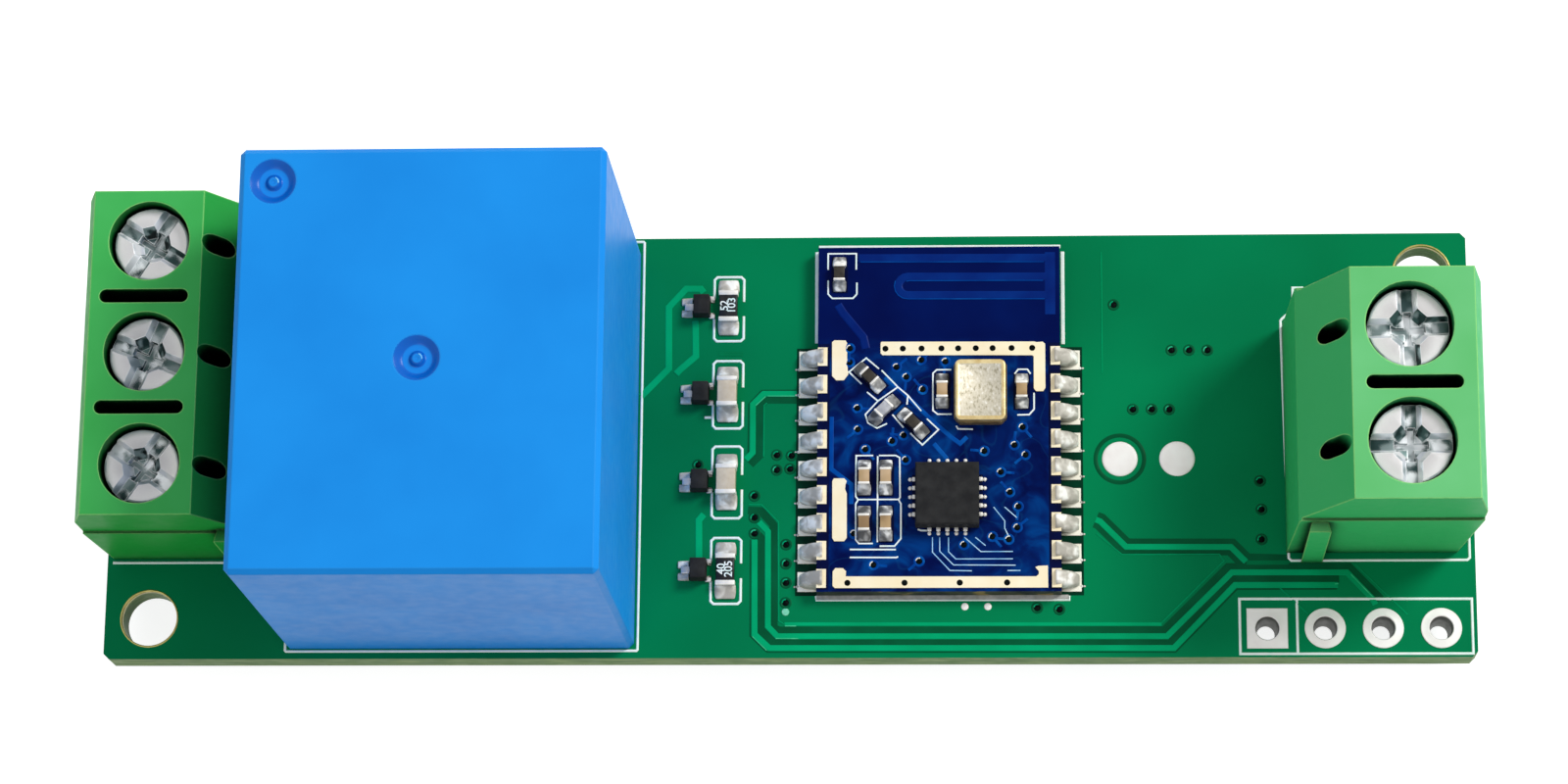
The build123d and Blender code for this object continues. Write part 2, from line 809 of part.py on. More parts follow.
# Solder cones under the board, one round each pin
with BuildPart() as board_solder:
    for x, y, width, depth in board_pins:
        with BuildSketch(Plane.XY.offset(tail_length)):
            with Locations((x, y)):
                RegularPolygon(cone_pad_d / 2, cone_sides)
        extrude(amount=-cone_height)
        rim = board_solder.faces(Select.LAST).sort_by(Axis.Z)[0].edges()
        chamfer(rim, length=cone_height - cone_foot, length2=(cone_pad_d - cone_tip_d) / 2)
        with BuildSketch(Plane.XY.offset(tail_length)):
            with Locations((x, y)):
                Rectangle(width, depth)
        extrude(amount=-cone_height, mode=Mode.SUBTRACT)
save(board_solder, "board_solder")


# Radio module board, and where the middle of each edge pad lies
edge_first_y = radio_y + edge_pad_y - edge_pad_pitch * (edge_pad_count - 1) / 2
edge_ys = [edge_first_y + edge_pad_pitch * i for i in range(edge_pad_count)]
with BuildPart() as radio_board:
    with BuildSketch(Plane.XY.offset(board_top)):
        with Locations((radio_x, radio_y)):
            Rectangle(radio_width, radio_length)
    extrude(amount=radio_thickness)
save(radio_board, "radio_board")

# Gold pads on the module's long edges
with BuildPart() as radio_edge_pads:
    with BuildSketch(Plane.XY.offset(radio_top)):
        for side in (-1, 1):
            with Locations(
                [(radio_x + side * (radio_width - edge_pad_l) / 2, y) for y in edge_ys]
            ):
                Rectangle(edge_pad_l, edge_pad_w)
    extrude(amount=shield_t)
save(radio_edge_pads, "radio_edge_pads")

# Solder that climbs from the main board to each edge pad
with BuildPart() as radio_solder:
    for side in (-1, 1):
        edge_x = radio_x + side * radio_width / 2
        for y in edge_ys:
            across = Plane((edge_x, y, board_top), x_dir=(side, 0, 0), z_dir=(0, -side, 0))
            with BuildSketch(across):
                with BuildLine():
                    Polyline(
                        (0, 0),
                        (fillet_reach, 0),
                        (fillet_reach, fillet_toe),
                        (fillet_reach / 2, fillet_knee),
                        (0, radio_thickness),
                        close=True,
                    )
                make_face()
            extrude(amount=edge_pad_w / 2, both=True)
save(radio_solder, "radio_solder")

# Gold lands for a shield frame: flat bars along the module's edges, each from one corner to
# the other, measured from the middle of the module
shield_bars = (
    ("top bar", -2.71, 2.9, 4.68, 3.62),
    ("right leg", 4.13, 1.19, 4.68, 2.9),
    ("left top", -4.84, 1.78, -4.2, 3.64),
    ("left middle", -4.84, -5.64, -4.2, -2.76),
    ("bottom bar", -4.81, -7.84, 4.72, -7.29),
    ("bottom left tab", -4.81, -7.29, -4.22, -6.9),
    ("bottom right tab", 4.18, -7.29, 4.72, -6.75),
)
with BuildPart() as radio_shield_pads:
    with BuildSketch(Plane.XY.offset(radio_top)):
        for _, x0, y0, x1, y1 in shield_bars:
            with Locations((radio_x + (x0 + x1) / 2, radio_y + (y0 + y1) / 2)):
                Rectangle(x1 - x0, y1 - y0)
    extrude(amount=shield_t)
save(radio_shield_pads, "radio_shield_pads")


# Radio chip: a flat black package on short leads
chip_at = (radio_x + chip_x, radio_y + chip_y)
lead_reach = chip_size / 2 + lead_out / 2
with BuildPart() as radio_chip:
    with BuildSketch(Plane.XY.offset(radio_top + chip_standoff)):
        with Locations(chip_at):
            Rectangle(chip_size, chip_size)
    extrude(amount=chip_height)
    chamfer(radio_chip.faces().sort_by(Axis.Z)[-1].edges(), length=0.06)
save(radio_chip, "radio_chip")

with BuildPart() as radio_chip_leads:
    with BuildSketch(Plane.XY.offset(radio_top)):
        for side in (-1, 1):
            with Locations((chip_at[0] + side * lead_reach, chip_at[1])):
                with GridLocations(1, lead_pitch, 1, lead_count):
                    Rectangle(lead_out, lead_w)
            with Locations((chip_at[0], chip_at[1] + side * lead_reach)):
                with GridLocations(lead_pitch, 1, lead_count, 1):
                    Rectangle(lead_w, lead_out)
    extrude(amount=lead_t)
save(radio_chip_leads, "radio_chip_leads")

# Crystal: a ceramic tray and a metal lid with cut corners
with BuildPart() as crystal_base:
    with BuildSketch(Plane.XY.offset(radio_top)):
        with Locations((radio_x + crystal_x, radio_y + crystal_y)):
            Rectangle(crystal_w, crystal_l)
        chamfer(vertices(), length=crystal_corner)
    extrude(amount=crystal_base_t)
save(crystal_base, "crystal_base")

lid_w = crystal_w - 2 * crystal_lid_inset
lid_l = crystal_l - 2 * crystal_lid_inset
with BuildPart() as crystal_lid:
    with BuildSketch(Plane.XY.offset(radio_top + crystal_base_t)):
        with Locations((radio_x + crystal_x, radio_y + crystal_y)):
            Rectangle(lid_w, lid_l)
        chamfer(vertices(), length=crystal_corner)
    extrude(amount=crystal_lid_t)
save(crystal_lid, "crystal_lid")


# Small chip parts on the module: place from its middle, and the way they lie in degrees
mini_spots = (
    ("antenna capacitor", -4.47, 6.65, 90),
    ("crystal capacitor left", 0.15, 1.2, 90),
    ("crystal capacitor right", 3.7, 1.18, 90),
    ("filter 1", -3.1, 1.83, -45),
    ("filter 2", -2.45, 0.33, 45),
    ("filter 3", -1.14, -0.29, -45),
    ("bypass 1", -3.32, -2.76, 90),
    ("bypass 2", -2.36, -2.76, 90),
    ("bypass 3", -3.32, -4.86, 90),
    ("bypass 4", -2.36, -4.86, 90),
)
with BuildPart() as radio_small_bodies:
    for _, x, y, turn in mini_spots:
        with BuildSketch(Plane.XY.offset(radio_top)):
            with Locations((radio_x + x, radio_y + y)):
                Rectangle(mini_l - 2 * mini_cap, mini_w, rotation=turn)
        extrude(amount=mini_h)
save(radio_small_bodies, "radio_small_bodies")

with BuildPart() as radio_small_ends:
    for _, x, y, turn in mini_spots:
        reach = mini_l / 2 - mini_cap / 2
        foot = mini_end_l / 2 - (mini_end_l - mini_l) / 4
        for side in (-1, 1):
            dx = side * cos(radians(turn))
            dy = side * sin(radians(turn))
            with BuildSketch(Plane.XY.offset(radio_top)):
                with Locations((radio_x + x + dx * reach, radio_y + y + dy * reach)):
                    Rectangle(mini_cap, mini_end_w, rotation=turn)
            extrude(amount=mini_h + foot_wrap)
            with BuildSketch(Plane.XY.offset(radio_top)):
                with Locations((radio_x + x + dx * foot, radio_y + y + dy * foot)):
                    Rectangle((mini_end_l - mini_l) / 2, mini_end_w, rotation=turn)
            extrude(amount=mini_h / 2)
save(radio_small_ends, "radio_small_ends")


def chip_body(y, width, length, height, end):
    """The middle of a resistor or capacitor, between its metal ends."""
    with BuildPart() as piece:
        with BuildSketch(Plane.XY.offset(board_top)):
            with Locations((row_x, y)):
                Rectangle(width, length - 2 * end)
        extrude(amount=height)
    return piece


def chip_ends(y, width, length, height, end):
    """The two metal ends of a resistor or capacitor with their sloping solder feet."""
    with BuildPart() as piece:
        for side in (-1, 1):
            start = y + side * (length / 2 - end)
            along = Plane((row_x, start, board_top), x_dir=(0, side, 0), z_dir=(side, 0, 0))
            with BuildSketch(along):
                with BuildLine():
                    Polyline(
                        (0, 0),
                        (end + chip_foot, 0),
                        (end + chip_foot, height * 0.15),
                        (end, height * 0.75),
                        (end, height + foot_wrap),
                        (0, height + foot_wrap),
                        close=True,
                    )
                make_face()
            extrude(amount=width / 2 + foot_wrap, both=True)
    return piece


def transistor_body(y):
    """A small black package with drafted sides."""
    with BuildPart() as piece:
        with BuildSketch(Plane.XY.offset(board_top + transistor_lead_t)):
            with Locations((transistor_x, y)):
                Rectangle(transistor_w, transistor_l)
        extrude(amount=transistor_h, taper=transistor_draft)
    return piece


def transistor_leads(y):
    """One wide lead on the relay's side and a pair on the other."""
    pair_y = transistor_l / 2 - transistor_pair_w / 2
    half = transistor_w / 2
    with BuildPart() as piece:
        with BuildSketch(Plane.XY.offset(board_top)):
            with Locations((transistor_x - half - transistor_lead_l / 2 + 0.1, y)):
                Rectangle(transistor_lead_l + 0.2, transistor_lead_w)
            for side in (-1, 1):
                with Locations((transistor_x + half + transistor_pair_l / 2 - 0.1, y + side * pair_y)):
                    Rectangle(transistor_pair_l + 0.2, transistor_pair_w)
        extrude(amount=transistor_lead_t)
    return piece


# The rows beside the relay: a resistor or a capacitor, each with its transistor
for i in range(row_count):
    y = row_first_y - i * row_pitch
    number = str(i + 1)
    if i in (0, row_count - 1):
        sizes = (y, resistor_w, resistor_l, resistor_h, resistor_end)
        name = "resistor_" + number
    else:
        sizes = (y, capacitor_w, capacitor_l, capacitor_h, capacitor_end)
        name = "capacitor_" + number
    save(chip_body(*sizes), name + "_body")
    save(chip_ends(*sizes), name + "_ends")
    save(transistor_body(y), "transistor_" + number + "_body")
    save(transistor_leads(y), "transistor_" + number + "_leads")
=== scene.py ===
import json
from math import cos, pi, radians, sin, tau

import bmesh
import bpy
from bmesh.types import BMEdge, BMFace, BMVert
from mathutils import Matrix, Vector


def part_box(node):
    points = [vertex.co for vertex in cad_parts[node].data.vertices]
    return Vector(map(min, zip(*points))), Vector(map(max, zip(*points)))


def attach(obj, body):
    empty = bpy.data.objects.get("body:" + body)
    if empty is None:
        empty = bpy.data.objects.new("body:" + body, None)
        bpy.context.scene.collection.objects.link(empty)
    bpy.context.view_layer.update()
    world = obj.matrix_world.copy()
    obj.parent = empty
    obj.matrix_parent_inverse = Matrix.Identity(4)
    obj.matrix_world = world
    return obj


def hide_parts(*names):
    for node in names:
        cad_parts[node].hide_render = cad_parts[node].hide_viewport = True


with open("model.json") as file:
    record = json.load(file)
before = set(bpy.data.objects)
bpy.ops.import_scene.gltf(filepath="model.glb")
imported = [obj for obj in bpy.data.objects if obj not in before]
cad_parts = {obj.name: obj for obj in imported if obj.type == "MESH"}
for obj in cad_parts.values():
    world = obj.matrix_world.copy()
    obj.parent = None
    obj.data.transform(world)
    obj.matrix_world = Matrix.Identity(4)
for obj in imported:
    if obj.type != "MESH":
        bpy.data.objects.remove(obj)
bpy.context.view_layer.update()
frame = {"nodes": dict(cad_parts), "record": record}

# Sizes and places are in millimetres in the row frame, turned into metres where a mesh is made.
MM = 0.001


def low_of(name):
    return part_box(name)[0] / MM


def high_of(name):
    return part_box(name)[1] / MM


def middle_of(name):
    """The middle of a node, seen from above."""
    low, high = low_of(name), high_of(name)
    return (low.x + high.x) / 2, (low.y + high.y) / 2


board_low, board_high = low_of("main_board"), high_of("main_board")
board_top = board_high.z
radio_low, radio_high = low_of("radio_board"), high_of("radio_board")
radio_top = radio_high.z
land_top = high_of("radio_edge_pads").z

# Camera, from a pinhole fit to the corners of the board, relay and terminals
camera_place = (10.80, -45.84, 190.08)
camera_turn = (14.50, 3.215, 0.520)
camera_focus_px = 4384.8
picture_width_px = 1600
sensor_width = 36.0

# How far a thin piece reaches into what carries it
sunk = 0.01

# Copper and ink, which are too thin for solids of their own
track_w = 0.3
track_up = 0.02
ink_up = 0.032
ink_w = 0.115
fine_ink_w = 0.075


# Helpers for materials

def srgb(red, green, blue):
    """A colour written as 0 to 255 screen values, as linear values."""
    def linear(value):
        value /= 255
        return value / 12.92 if value <= 0.04045 else ((value + 0.055) / 1.055) ** 2.4
    return (linear(red), linear(green), linear(blue), 1.0)


class Finish:
    """A node material that is put together step by step."""

    def __init__(self, name, roughness=0.5, metallic=0.0, specular=0.25):
        self.material = bpy.data.materials.new(name)
        self.material.use_nodes = True
        self.tree = self.material.node_tree
        self.shader = self.tree.nodes["Principled BSDF"]
        self.shader.inputs["Roughness"].default_value = roughness
        self.shader.inputs["Metallic"].default_value = metallic
        self.shader.inputs["Specular IOR Level"].default_value = specular
        self.place = self.add("TexCoord").outputs["Object"]
        self.normal = None

    def add(self, kind, **settings):
        made = self.tree.nodes.new("ShaderNode" + kind)
        for key, value in settings.items():
            setattr(made, key, value)
        return made

    def link(self, source, target):
        self.tree.links.new(source, target)

    def mapped(self, stretch=(1, 1, 1), turn=0.0):
        mapping = self.add("Mapping")
        mapping.inputs["Scale"].default_value = stretch
        mapping.inputs["Rotation"].default_value = (0, 0, radians(turn))
        self.link(self.place, mapping.inputs["Vector"])
        return mapping.outputs["Vector"]

    def noise(self, size, detail=2.0, stretch=(1, 1, 1), turn=0.0, distortion=0.0):
        """Noise whose blotches are about size millimetres wide."""
        noise = self.add("TexNoise")
        noise.inputs["Scale"].default_value = 1 / (size * MM)
        noise.inputs["Detail"].default_value = detail
        noise.inputs["Distortion"].default_value = distortion
        self.link(self.mapped(stretch, turn), noise.inputs["Vector"])
        return noise.outputs["Fac"]

    def ramp(self, factor, stops):
        """The factor as a colour, from stops of a position and a screen colour."""
        ramp = self.add("ValToRGB")
        elements = ramp.color_ramp.elements
        while len(elements) < len(stops):
            elements.new(0.5)
        for element, (position, colour) in zip(elements, stops):
            element.position = position
            element.color = srgb(*colour)
        self.link(factor, ramp.inputs["Fac"])
        return ramp.outputs["Color"]

    def mix(self, factor, first, second):
        """The first at a factor of 0 and the second at 1, each a node's output or a screen colour."""
        mix = self.add("Mix", data_type="RGBA")
        self.link(factor, mix.inputs["Factor"])
        for value, socket in ((first, mix.inputs["A"]), (second, mix.inputs["B"])):
            if isinstance(value, tuple):
                socket.default_value = srgb(*value)
            else:
                self.link(value, socket)
        return mix.outputs["Result"]

    def spread(self, factor, low, high, start=0.3, end=0.7):
        """A value that runs from low to high as the factor runs from start to end."""
        spread = self.add("MapRange")
        spread.inputs["From Min"].default_value = start
        spread.inputs["From Max"].default_value = end
        spread.inputs["To Min"].default_value = low
        spread.inputs["To Max"].default_value = high
        self.link(factor, spread.inputs["Value"])
        return spread.outputs["Result"]

    def along(self, axis, start, end):
        """0 to 1 from start to end, in millimetres along one axis of the object."""
        split = self.add("SeparateXYZ")
        self.link(self.place, split.inputs["Vector"])
        return self.spread(split.outputs[axis], 0.0, 1.0, start * MM, end * MM)

    def facing_up(self):
        """1 on faces that look up, 0 on upright faces, -1 on faces that look down."""
        split = self.add("SeparateXYZ")
        self.link(self.tree.nodes["Texture Coordinate"].outputs["Normal"], split.inputs["Vector"])
        return split.outputs["Z"]

    def upward(self):
        """1 on faces that look up or down, 0 on upright faces."""
        size = self.add("Math", operation="ABSOLUTE")
        self.link(self.facing_up(), size.inputs[0])
        return self.spread(size.outputs["Value"], 0.0, 1.0, 0.4, 0.8)

    def level(self):
        """1 on faces that are level, 0 as soon as they slope."""
        return self.spread(self.facing_up(), 0.0, 1.0, 0.93, 0.985)

    def crevices(self, reach, dark=0.2, bright=0.7):
        """0 deep in gaps and holes, 1 in the open: a mask for painted shade and painted light."""
        shade = self.add("AmbientOcclusion", samples=6)
        shade.inputs["Distance"].default_value = reach * MM
        return self.spread(shade.outputs["AO"], 0.0, 1.0, dark, bright)

    def along_edges(self, radius, full=0.8):
        """1 on edges, 0 on flat faces, wider as full comes nearer to 1: a mask for painted highlights."""
        face = self.add("NewGeometry")
        alike = self.add("VectorMath", operation="DOT_PRODUCT")
        self.link(self.rounded(radius), alike.inputs[0])
        self.link(face.outputs["Normal"], alike.inputs[1])
        return self.spread(alike.outputs["Value"], 1.0, 0.0, full, 0.985)

    def colour(self, source):
        self.link(source, self.shader.inputs["Base Color"])

    def rough(self, source):
        self.link(source, self.shader.inputs["Roughness"])

    def relief(self, height, depth):
        """Bump from a height of 0 to 1 that stands for depth millimetres."""
        bump = self.add("Bump")
        bump.inputs["Strength"].default_value = 1.0
        bump.inputs["Distance"].default_value = depth * MM
        self.link(height, bump.inputs["Height"])
        if self.normal is not None:
            self.link(self.normal, bump.inputs["Normal"])
        self.normal = bump.outputs["Normal"]
        self.link(self.normal, self.shader.inputs["Normal"])

    def rounded(self, radius):
        """The normals that the surface would have with its edges rounded."""
        bevel = self.add("Bevel", samples=4)
        bevel.inputs["Radius"].default_value = radius * MM
        return bevel.outputs["Normal"]

    def soft_edges(self, radius):
        """Edges shaded as if rounded."""
        self.normal = self.rounded(radius)
        self.link(self.normal, self.shader.inputs["Normal"])


# Materials of this board

def laminate(finish):
    """Glass fibre layers as seen on a cut edge."""
    layers = finish.noise(0.16, 3.0, stretch=(0.12, 0.12, 1.0))
    return finish.ramp(layers, [(0.3, (84, 118, 62)), (0.5, (104, 138, 78)), (0.72, (146, 170, 106))])


def solder_mask(name, deep, middle, light, size, specular=0.03, cut_edge=False):
    """Satin lacquer over copper, a little uneven, with the bare laminate on cut edges if asked."""
    finish = Finish(name, specular=specular)
    cloud = finish.noise(size, 2.0)
    mask = finish.ramp(cloud, [(0.3, deep), (0.5, middle), (0.7, light)])
    if cut_edge:
        mask = finish.mix(finish.upward(), laminate(finish), mask)
    finish.colour(mask)
    finish.rough(finish.spread(finish.noise(0.5, 3.0), 0.35, 0.45))
    finish.relief(finish.noise(0.6, 2.0), 0.005)
    finish.relief(finish.noise(0.07, 1.0), 0.001)
    return finish.material


def radio_mask():
    """Deep blue lacquer: darker and even over the antenna, cloudier over the tracks below it."""
    finish = Finish("radio_solder_mask", roughness=0.35, specular=0.03)
    cloud = finish.noise(1.5, 3.0, distortion=0.9)
    busy = finish.ramp(cloud, [(0.36, (0, 12, 68)), (0.52, (0, 30, 94)), (0.68, (0, 60, 130))])
    outlines = finish.ramp(finish.noise(2.1, 1.0, distortion=0.5),
                           [(0.484, (0, 0, 0)), (0.5, (64, 64, 64)), (0.516, (0, 0, 0))])
    busy = finish.mix(outlines, busy, (40, 140, 200))
    calm = finish.ramp(finish.noise(3.0, 2.0), [(0.3, (0, 12, 70)), (0.7, (0, 20, 84))])
    mask = finish.mix(finish.along("Y", 3.6, 4.8), busy, calm)
    layers = finish.noise(0.9, 2.0)
    edge = finish.ramp(layers, [(0.4, (30, 44, 40)), (0.6, (70, 78, 60)), (0.68, (150, 130, 80))])
    finish.colour(finish.mix(finish.upward(), edge, mask))
    finish.relief(finish.noise(0.4, 2.0), 0.006)
    return finish.material


def white_ink():
    finish = Finish("white_ink", roughness=0.6, specular=0.1)
    finish.colour(finish.ramp(finish.noise(0.35, 3.0), [(0.25, (226, 250, 242)), (0.6, (250, 255, 253))]))
    finish.relief(finish.noise(0.08, 2.0), 0.005)
    return finish.material


def metal(name, dark, light, size, roughness, grain, depth, metallic=1.0):
    """A bare metal with a slow change of tone, a changing gloss and fine relief."""
    finish = Finish(name, metallic=metallic)
    finish.colour(finish.ramp(finish.noise(size, 3.0), [(0.3, dark), (0.7, light)]))
    finish.rough(finish.spread(finish.noise(size / 3, 3.0), roughness - 0.06, roughness + 0.08))
    finish.relief(finish.noise(grain, 2.0), depth)
    return finish.material


def grained(finish, roughness, edge):
    """The satin grain of moulded plastic, with rounded edges."""
    finish.rough(finish.spread(finish.noise(0.6, 3.0), roughness - 0.04, roughness + 0.06))
    finish.soft_edges(edge)
    finish.relief(finish.noise(0.9, 2.0), 0.003)
    finish.relief(finish.noise(0.09, 2.0), 0.0015)


def moulded(name, deep, light, roughness, edge, painted_gap_shade, painted_edge_highlight, edge_highlight_share):
    """Moulded plastic: slow change of tone, fine grain, painted shade in its gaps and a painted highlight
    along its edges.
    """
    finish = Finish(name, specular=0.08)
    tone = finish.ramp(finish.noise(5.0, 3.0), [(0.3, deep), (0.7, light)])
    # Painted highlight: a lighter tone along the edges.
    lit = finish.spread(finish.along_edges(edge * 0.8), 0.0, edge_highlight_share, 0.0, 1.0)
    tone = finish.mix(lit, tone, painted_edge_highlight)
    # Painted shade: a dark tone deep in gaps and recesses.
    finish.colour(finish.mix(finish.crevices(2.2), painted_gap_shade, tone))
    grained(finish, roughness, edge)
    return finish.material


def terminal_plastic():
    """The housings' green with painted light: paler on the right one, where the lamp falls more, painted
    shade on upright faces, a painted highlight along edges and painted shade to near black down in the wells.
    """
    finish = Finish("terminal_green_plastic", specular=0.05)
    cloud = finish.noise(5.0, 3.0)
    # Painted light: the right housing paler and the left one darker, as the lamp falls on them.
    painted_light_to_right = finish.along("X", -10, 20)
    top = finish.mix(painted_light_to_right, finish.ramp(cloud, [(0.3, (62, 172, 82)), (0.7, (74, 186, 96))]),
                     finish.ramp(cloud, [(0.3, (98, 190, 114)), (0.7, (112, 200, 130))]))
    # Painted shade: upright faces take a darker copy of the green of the tops.
    sides = finish.mix(painted_light_to_right, (28, 158, 58), (56, 188, 104))
    tone = finish.mix(finish.upward(), sides, top)
    # Painted highlight along the edges.
    tone = finish.mix(finish.along_edges(0.09, 0.92), tone, (170, 240, 140))
    # Painted shade: near black in gaps and down in the wells.
    tone = finish.mix(finish.crevices(0.9, 0.42, 0.86), (0, 14, 6), tone)
    finish.colour(finish.mix(finish.crevices(3.4), (0, 16, 8), tone))
    grained(finish, 0.42, 0.11)
    return finish.material


def soldered(name, hollow, middle, crest):
    """Satin solder: mottled, with painted shade in its hollows and a painted near-white highlight along its
    edges.
    """
    finish = Finish(name, specular=0.22)
    mottled = finish.noise(0.6, 2.0, distortion=0.3)
    tone = finish.ramp(mottled, [(0.4, hollow), (0.52, middle), (0.62, crest)])
    # Painted highlight: near white along the edges.
    tone = finish.mix(finish.along_edges(0.07), tone, (252, 250, 244))
    # Painted shade: dark grey deep in hollows and gaps.
    finish.colour(finish.mix(finish.crevices(0.5, 0.15, 0.6), (60, 60, 56), tone))
    finish.relief(finish.noise(0.3, 2.0), 0.02)
    return finish.material


def dimple_blue():
    """The relay's dimples with painted shade: their walls darker than their floors."""
    finish = Finish("relay_dimple_blue", roughness=0.25, specular=0.2)
    # Painted shade: sloping walls take the darker blue.
    finish.colour(finish.mix(finish.level(), (0, 96, 194), (8, 132, 228)))
    finish.relief(finish.noise(0.5, 2.0), 0.004)
    return finish.material


def facets(name, size, tones, rim_painted_light=False):
    """Plated steel with a painted reflection: a mosaic of flat tones, as a crumpled bright surface would
    reflect them, and a painted white highlight along its edges.
    """
    finish = Finish(name, metallic=0.3, roughness=0.32)
    cells = finish.add("TexVoronoi")
    cells.inputs["Scale"].default_value = 1 / (size * MM)
    waves = finish.add("TexNoise")
    waves.inputs["Scale"].default_value = 1 / (size * 2 * MM)
    bent = finish.add("VectorMath", operation="MULTIPLY_ADD")
    bent.inputs[1].default_value = (size * 1.3 * MM,) * 3
    finish.link(waves.outputs["Color"], bent.inputs[0])
    finish.link(finish.place, bent.inputs[2])
    finish.link(bent.outputs["Vector"], cells.inputs["Vector"])
    pick = finish.add("SeparateColor")
    finish.link(cells.outputs["Color"], pick.inputs["Color"])
    stops = [(i / len(tones), tone) for i, tone in enumerate(tones)]
    tone = finish.ramp(pick.outputs["Red"], stops)
    tone.node.color_ramp.interpolation = "CONSTANT"
    if rim_painted_light:
        # Painted light: the rim, which the well shades, is lightened towards white.
        tone = finish.mix(finish.crevices(1.2, 0.5, 0.95), (252, 250, 250), tone)
    # Painted highlight: white along the edges.
    finish.colour(finish.mix(finish.along_edges(0.05, 0.93), tone, (255, 255, 255)))
    finish.relief(finish.noise(0.25, 2.0), 0.006)
    return finish.material


def package_black():
    finish = Finish("package_black", roughness=0.6, specular=0.06)
    finish.colour(finish.ramp(finish.noise(0.5, 4.0), [(0.3, (34, 34, 35)), (0.7, (48, 48, 48))]))
    finish.rough(finish.spread(finish.noise(0.12, 2.0), 0.5, 0.68))
    finish.relief(finish.noise(0.045, 2.0), 0.003)
    return finish.material


def glaze(name, deep, light, roughness=0.35):
    """Fired ceramic or resistor glaze."""
    finish = Finish(name, roughness=roughness)
    finish.colour(finish.ramp(finish.noise(0.3, 4.0), [(0.3, deep), (0.7, light)]))
    finish.relief(finish.noise(0.06, 2.0), 0.004)
    return finish.material


def tan_ceramic():
    """Small capacitor bodies, each a little greyer or warmer than the next."""
    finish = Finish("tan_ceramic", roughness=0.45, specular=0.2)
    cloud = finish.noise(1.3, 2.0)
    tone = finish.ramp(cloud, [(0.35, (146, 118, 84)), (0.5, (180, 150, 108)), (0.65, (196, 168, 132))])
    finish.colour(tone)
    finish.relief(finish.noise(0.05, 2.0), 0.003)
    return finish.material


def copper_wire():
    finish = Finish("wound_copper_wire", metallic=0.9, roughness=0.3)
    waves = finish.add("TexWave", bands_direction="Z")
    waves.inputs["Scale"].default_value = 1 / (0.5 * MM)
    finish.link(finish.place, waves.inputs["Vector"])
    finish.colour(finish.ramp(waves.outputs["Fac"], [(0.0, (120, 52, 26)), (1.0, (206, 116, 70))]))
    finish.relief(waves.outputs["Fac"], 0.04)
    return finish.material


def speckled_plate():
    """The crystal lid's pale, finely speckled middle."""
    finish = Finish("speckled_plate", metallic=0.35, roughness=0.5)
    specks = finish.noise(0.09, 3.0, stretch=(1, 0.6, 1), turn=30)
    finish.colour(finish.ramp(specks, [(0.34, (160, 152, 130)), (0.42, (196, 188, 166)),
                                       (0.62, (208, 201, 184)), (0.7, (230, 226, 214))]))
    finish.relief(specks, 0.004)
    return finish.material


materials = {
    "board_green": solder_mask("board_solder_mask", (0, 112, 68), (0, 122, 75), (0, 130, 80), 9.0,
                               cut_edge=True),
    "gold_plating": metal("gold_plate", (250, 232, 192), (255, 244, 214), 1.4, 0.46, 0.08, 0.002, 0.12),
    "solder": soldered("satin_solder", (178, 172, 162), (212, 206, 196), (250, 248, 242)),
    "tinned_metal": metal("tinned_lead", (196, 194, 194), (226, 222, 220), 0.6, 0.4, 0.1, 0.004, 0.5),
    # Relay plastics: after the two body tones come the painted gap shade, the painted edge highlight and its
    # share.
    "relay_blue": moulded("relay_blue_plastic", (24, 138, 228), (28, 146, 236), 0.4, 0.1, (0, 74, 160),
                          (70, 176, 255), 0.5),
    "relay_black": moulded("relay_black_plastic", (18, 18, 20), (30, 30, 32), 0.5, 0.05, (6, 6, 8),
                           (70, 70, 74), 0.4),
    "copper_wire": copper_wire(),
    "soft_iron": metal("soft_iron", (140, 142, 146), (180, 182, 184), 2.0, 0.38, 0.12, 0.004),
    "contact_metal": metal("contact_bronze", (196, 148, 92), (222, 178, 118), 1.0, 0.3, 0.1, 0.003),
    "terminal_green": terminal_plastic(),
    # Screw heads: a painted reflection in three greys, painted light at the shaded rim and a painted
    # highlight on edges.
    "screw_steel": facets("plated_screw", 1.4, [(192, 190, 190), (204, 202, 202), (212, 209, 209)],
                          rim_painted_light=True),
    "clamp_steel": metal("clamp_steel", (160, 160, 152), (206, 206, 196), 1.0, 0.32, 0.12, 0.006),
    "radio_blue": radio_mask(),
    "package_black": package_black(),
    "ceramic_tray": glaze("ceramic_tray", (92, 78, 50), (132, 112, 76)),
    "lid_metal": metal("crystal_lid_rim", (196, 168, 108), (236, 218, 168), 0.5, 0.34, 0.12, 0.006, 0.6),
    "ceramic_tan": tan_ceramic(),
    "ceramic_cream": glaze("ceramic_cream", (200, 184, 160), (216, 202, 180)),
    "resistor_black": glaze("resistor_glaze", (20, 20, 22), (34, 34, 36), 0.3),
    "white_ink": white_ink(),
}
ink = materials["white_ink"]
mask_over_tracks = solder_mask("mask_over_tracks", (0, 154, 98), (0, 164, 106), (0, 172, 112), 2.5)
mask_in_grooves = solder_mask("mask_in_grooves", (0, 78, 46), (0, 84, 50), (0, 92, 56), 1.5, specular=0.05)
mask_in_shade = solder_mask("mask_in_shade", (0, 40, 26), (0, 50, 32), (0, 58, 38), 0.8, specular=0.04)
# Lighter lines along the copper pour's edges: partly the copper edge under the lacquer, partly painted
# highlight.
mask_over_pour = solder_mask("mask_over_pour_edge", (0, 140, 88), (0, 150, 96), (0, 158, 102), 2.5)
radio_copper = solder_mask("mask_over_radio_copper", (0, 28, 102), (0, 36, 112), (0, 44, 122), 1.6,
                           specular=0.05)
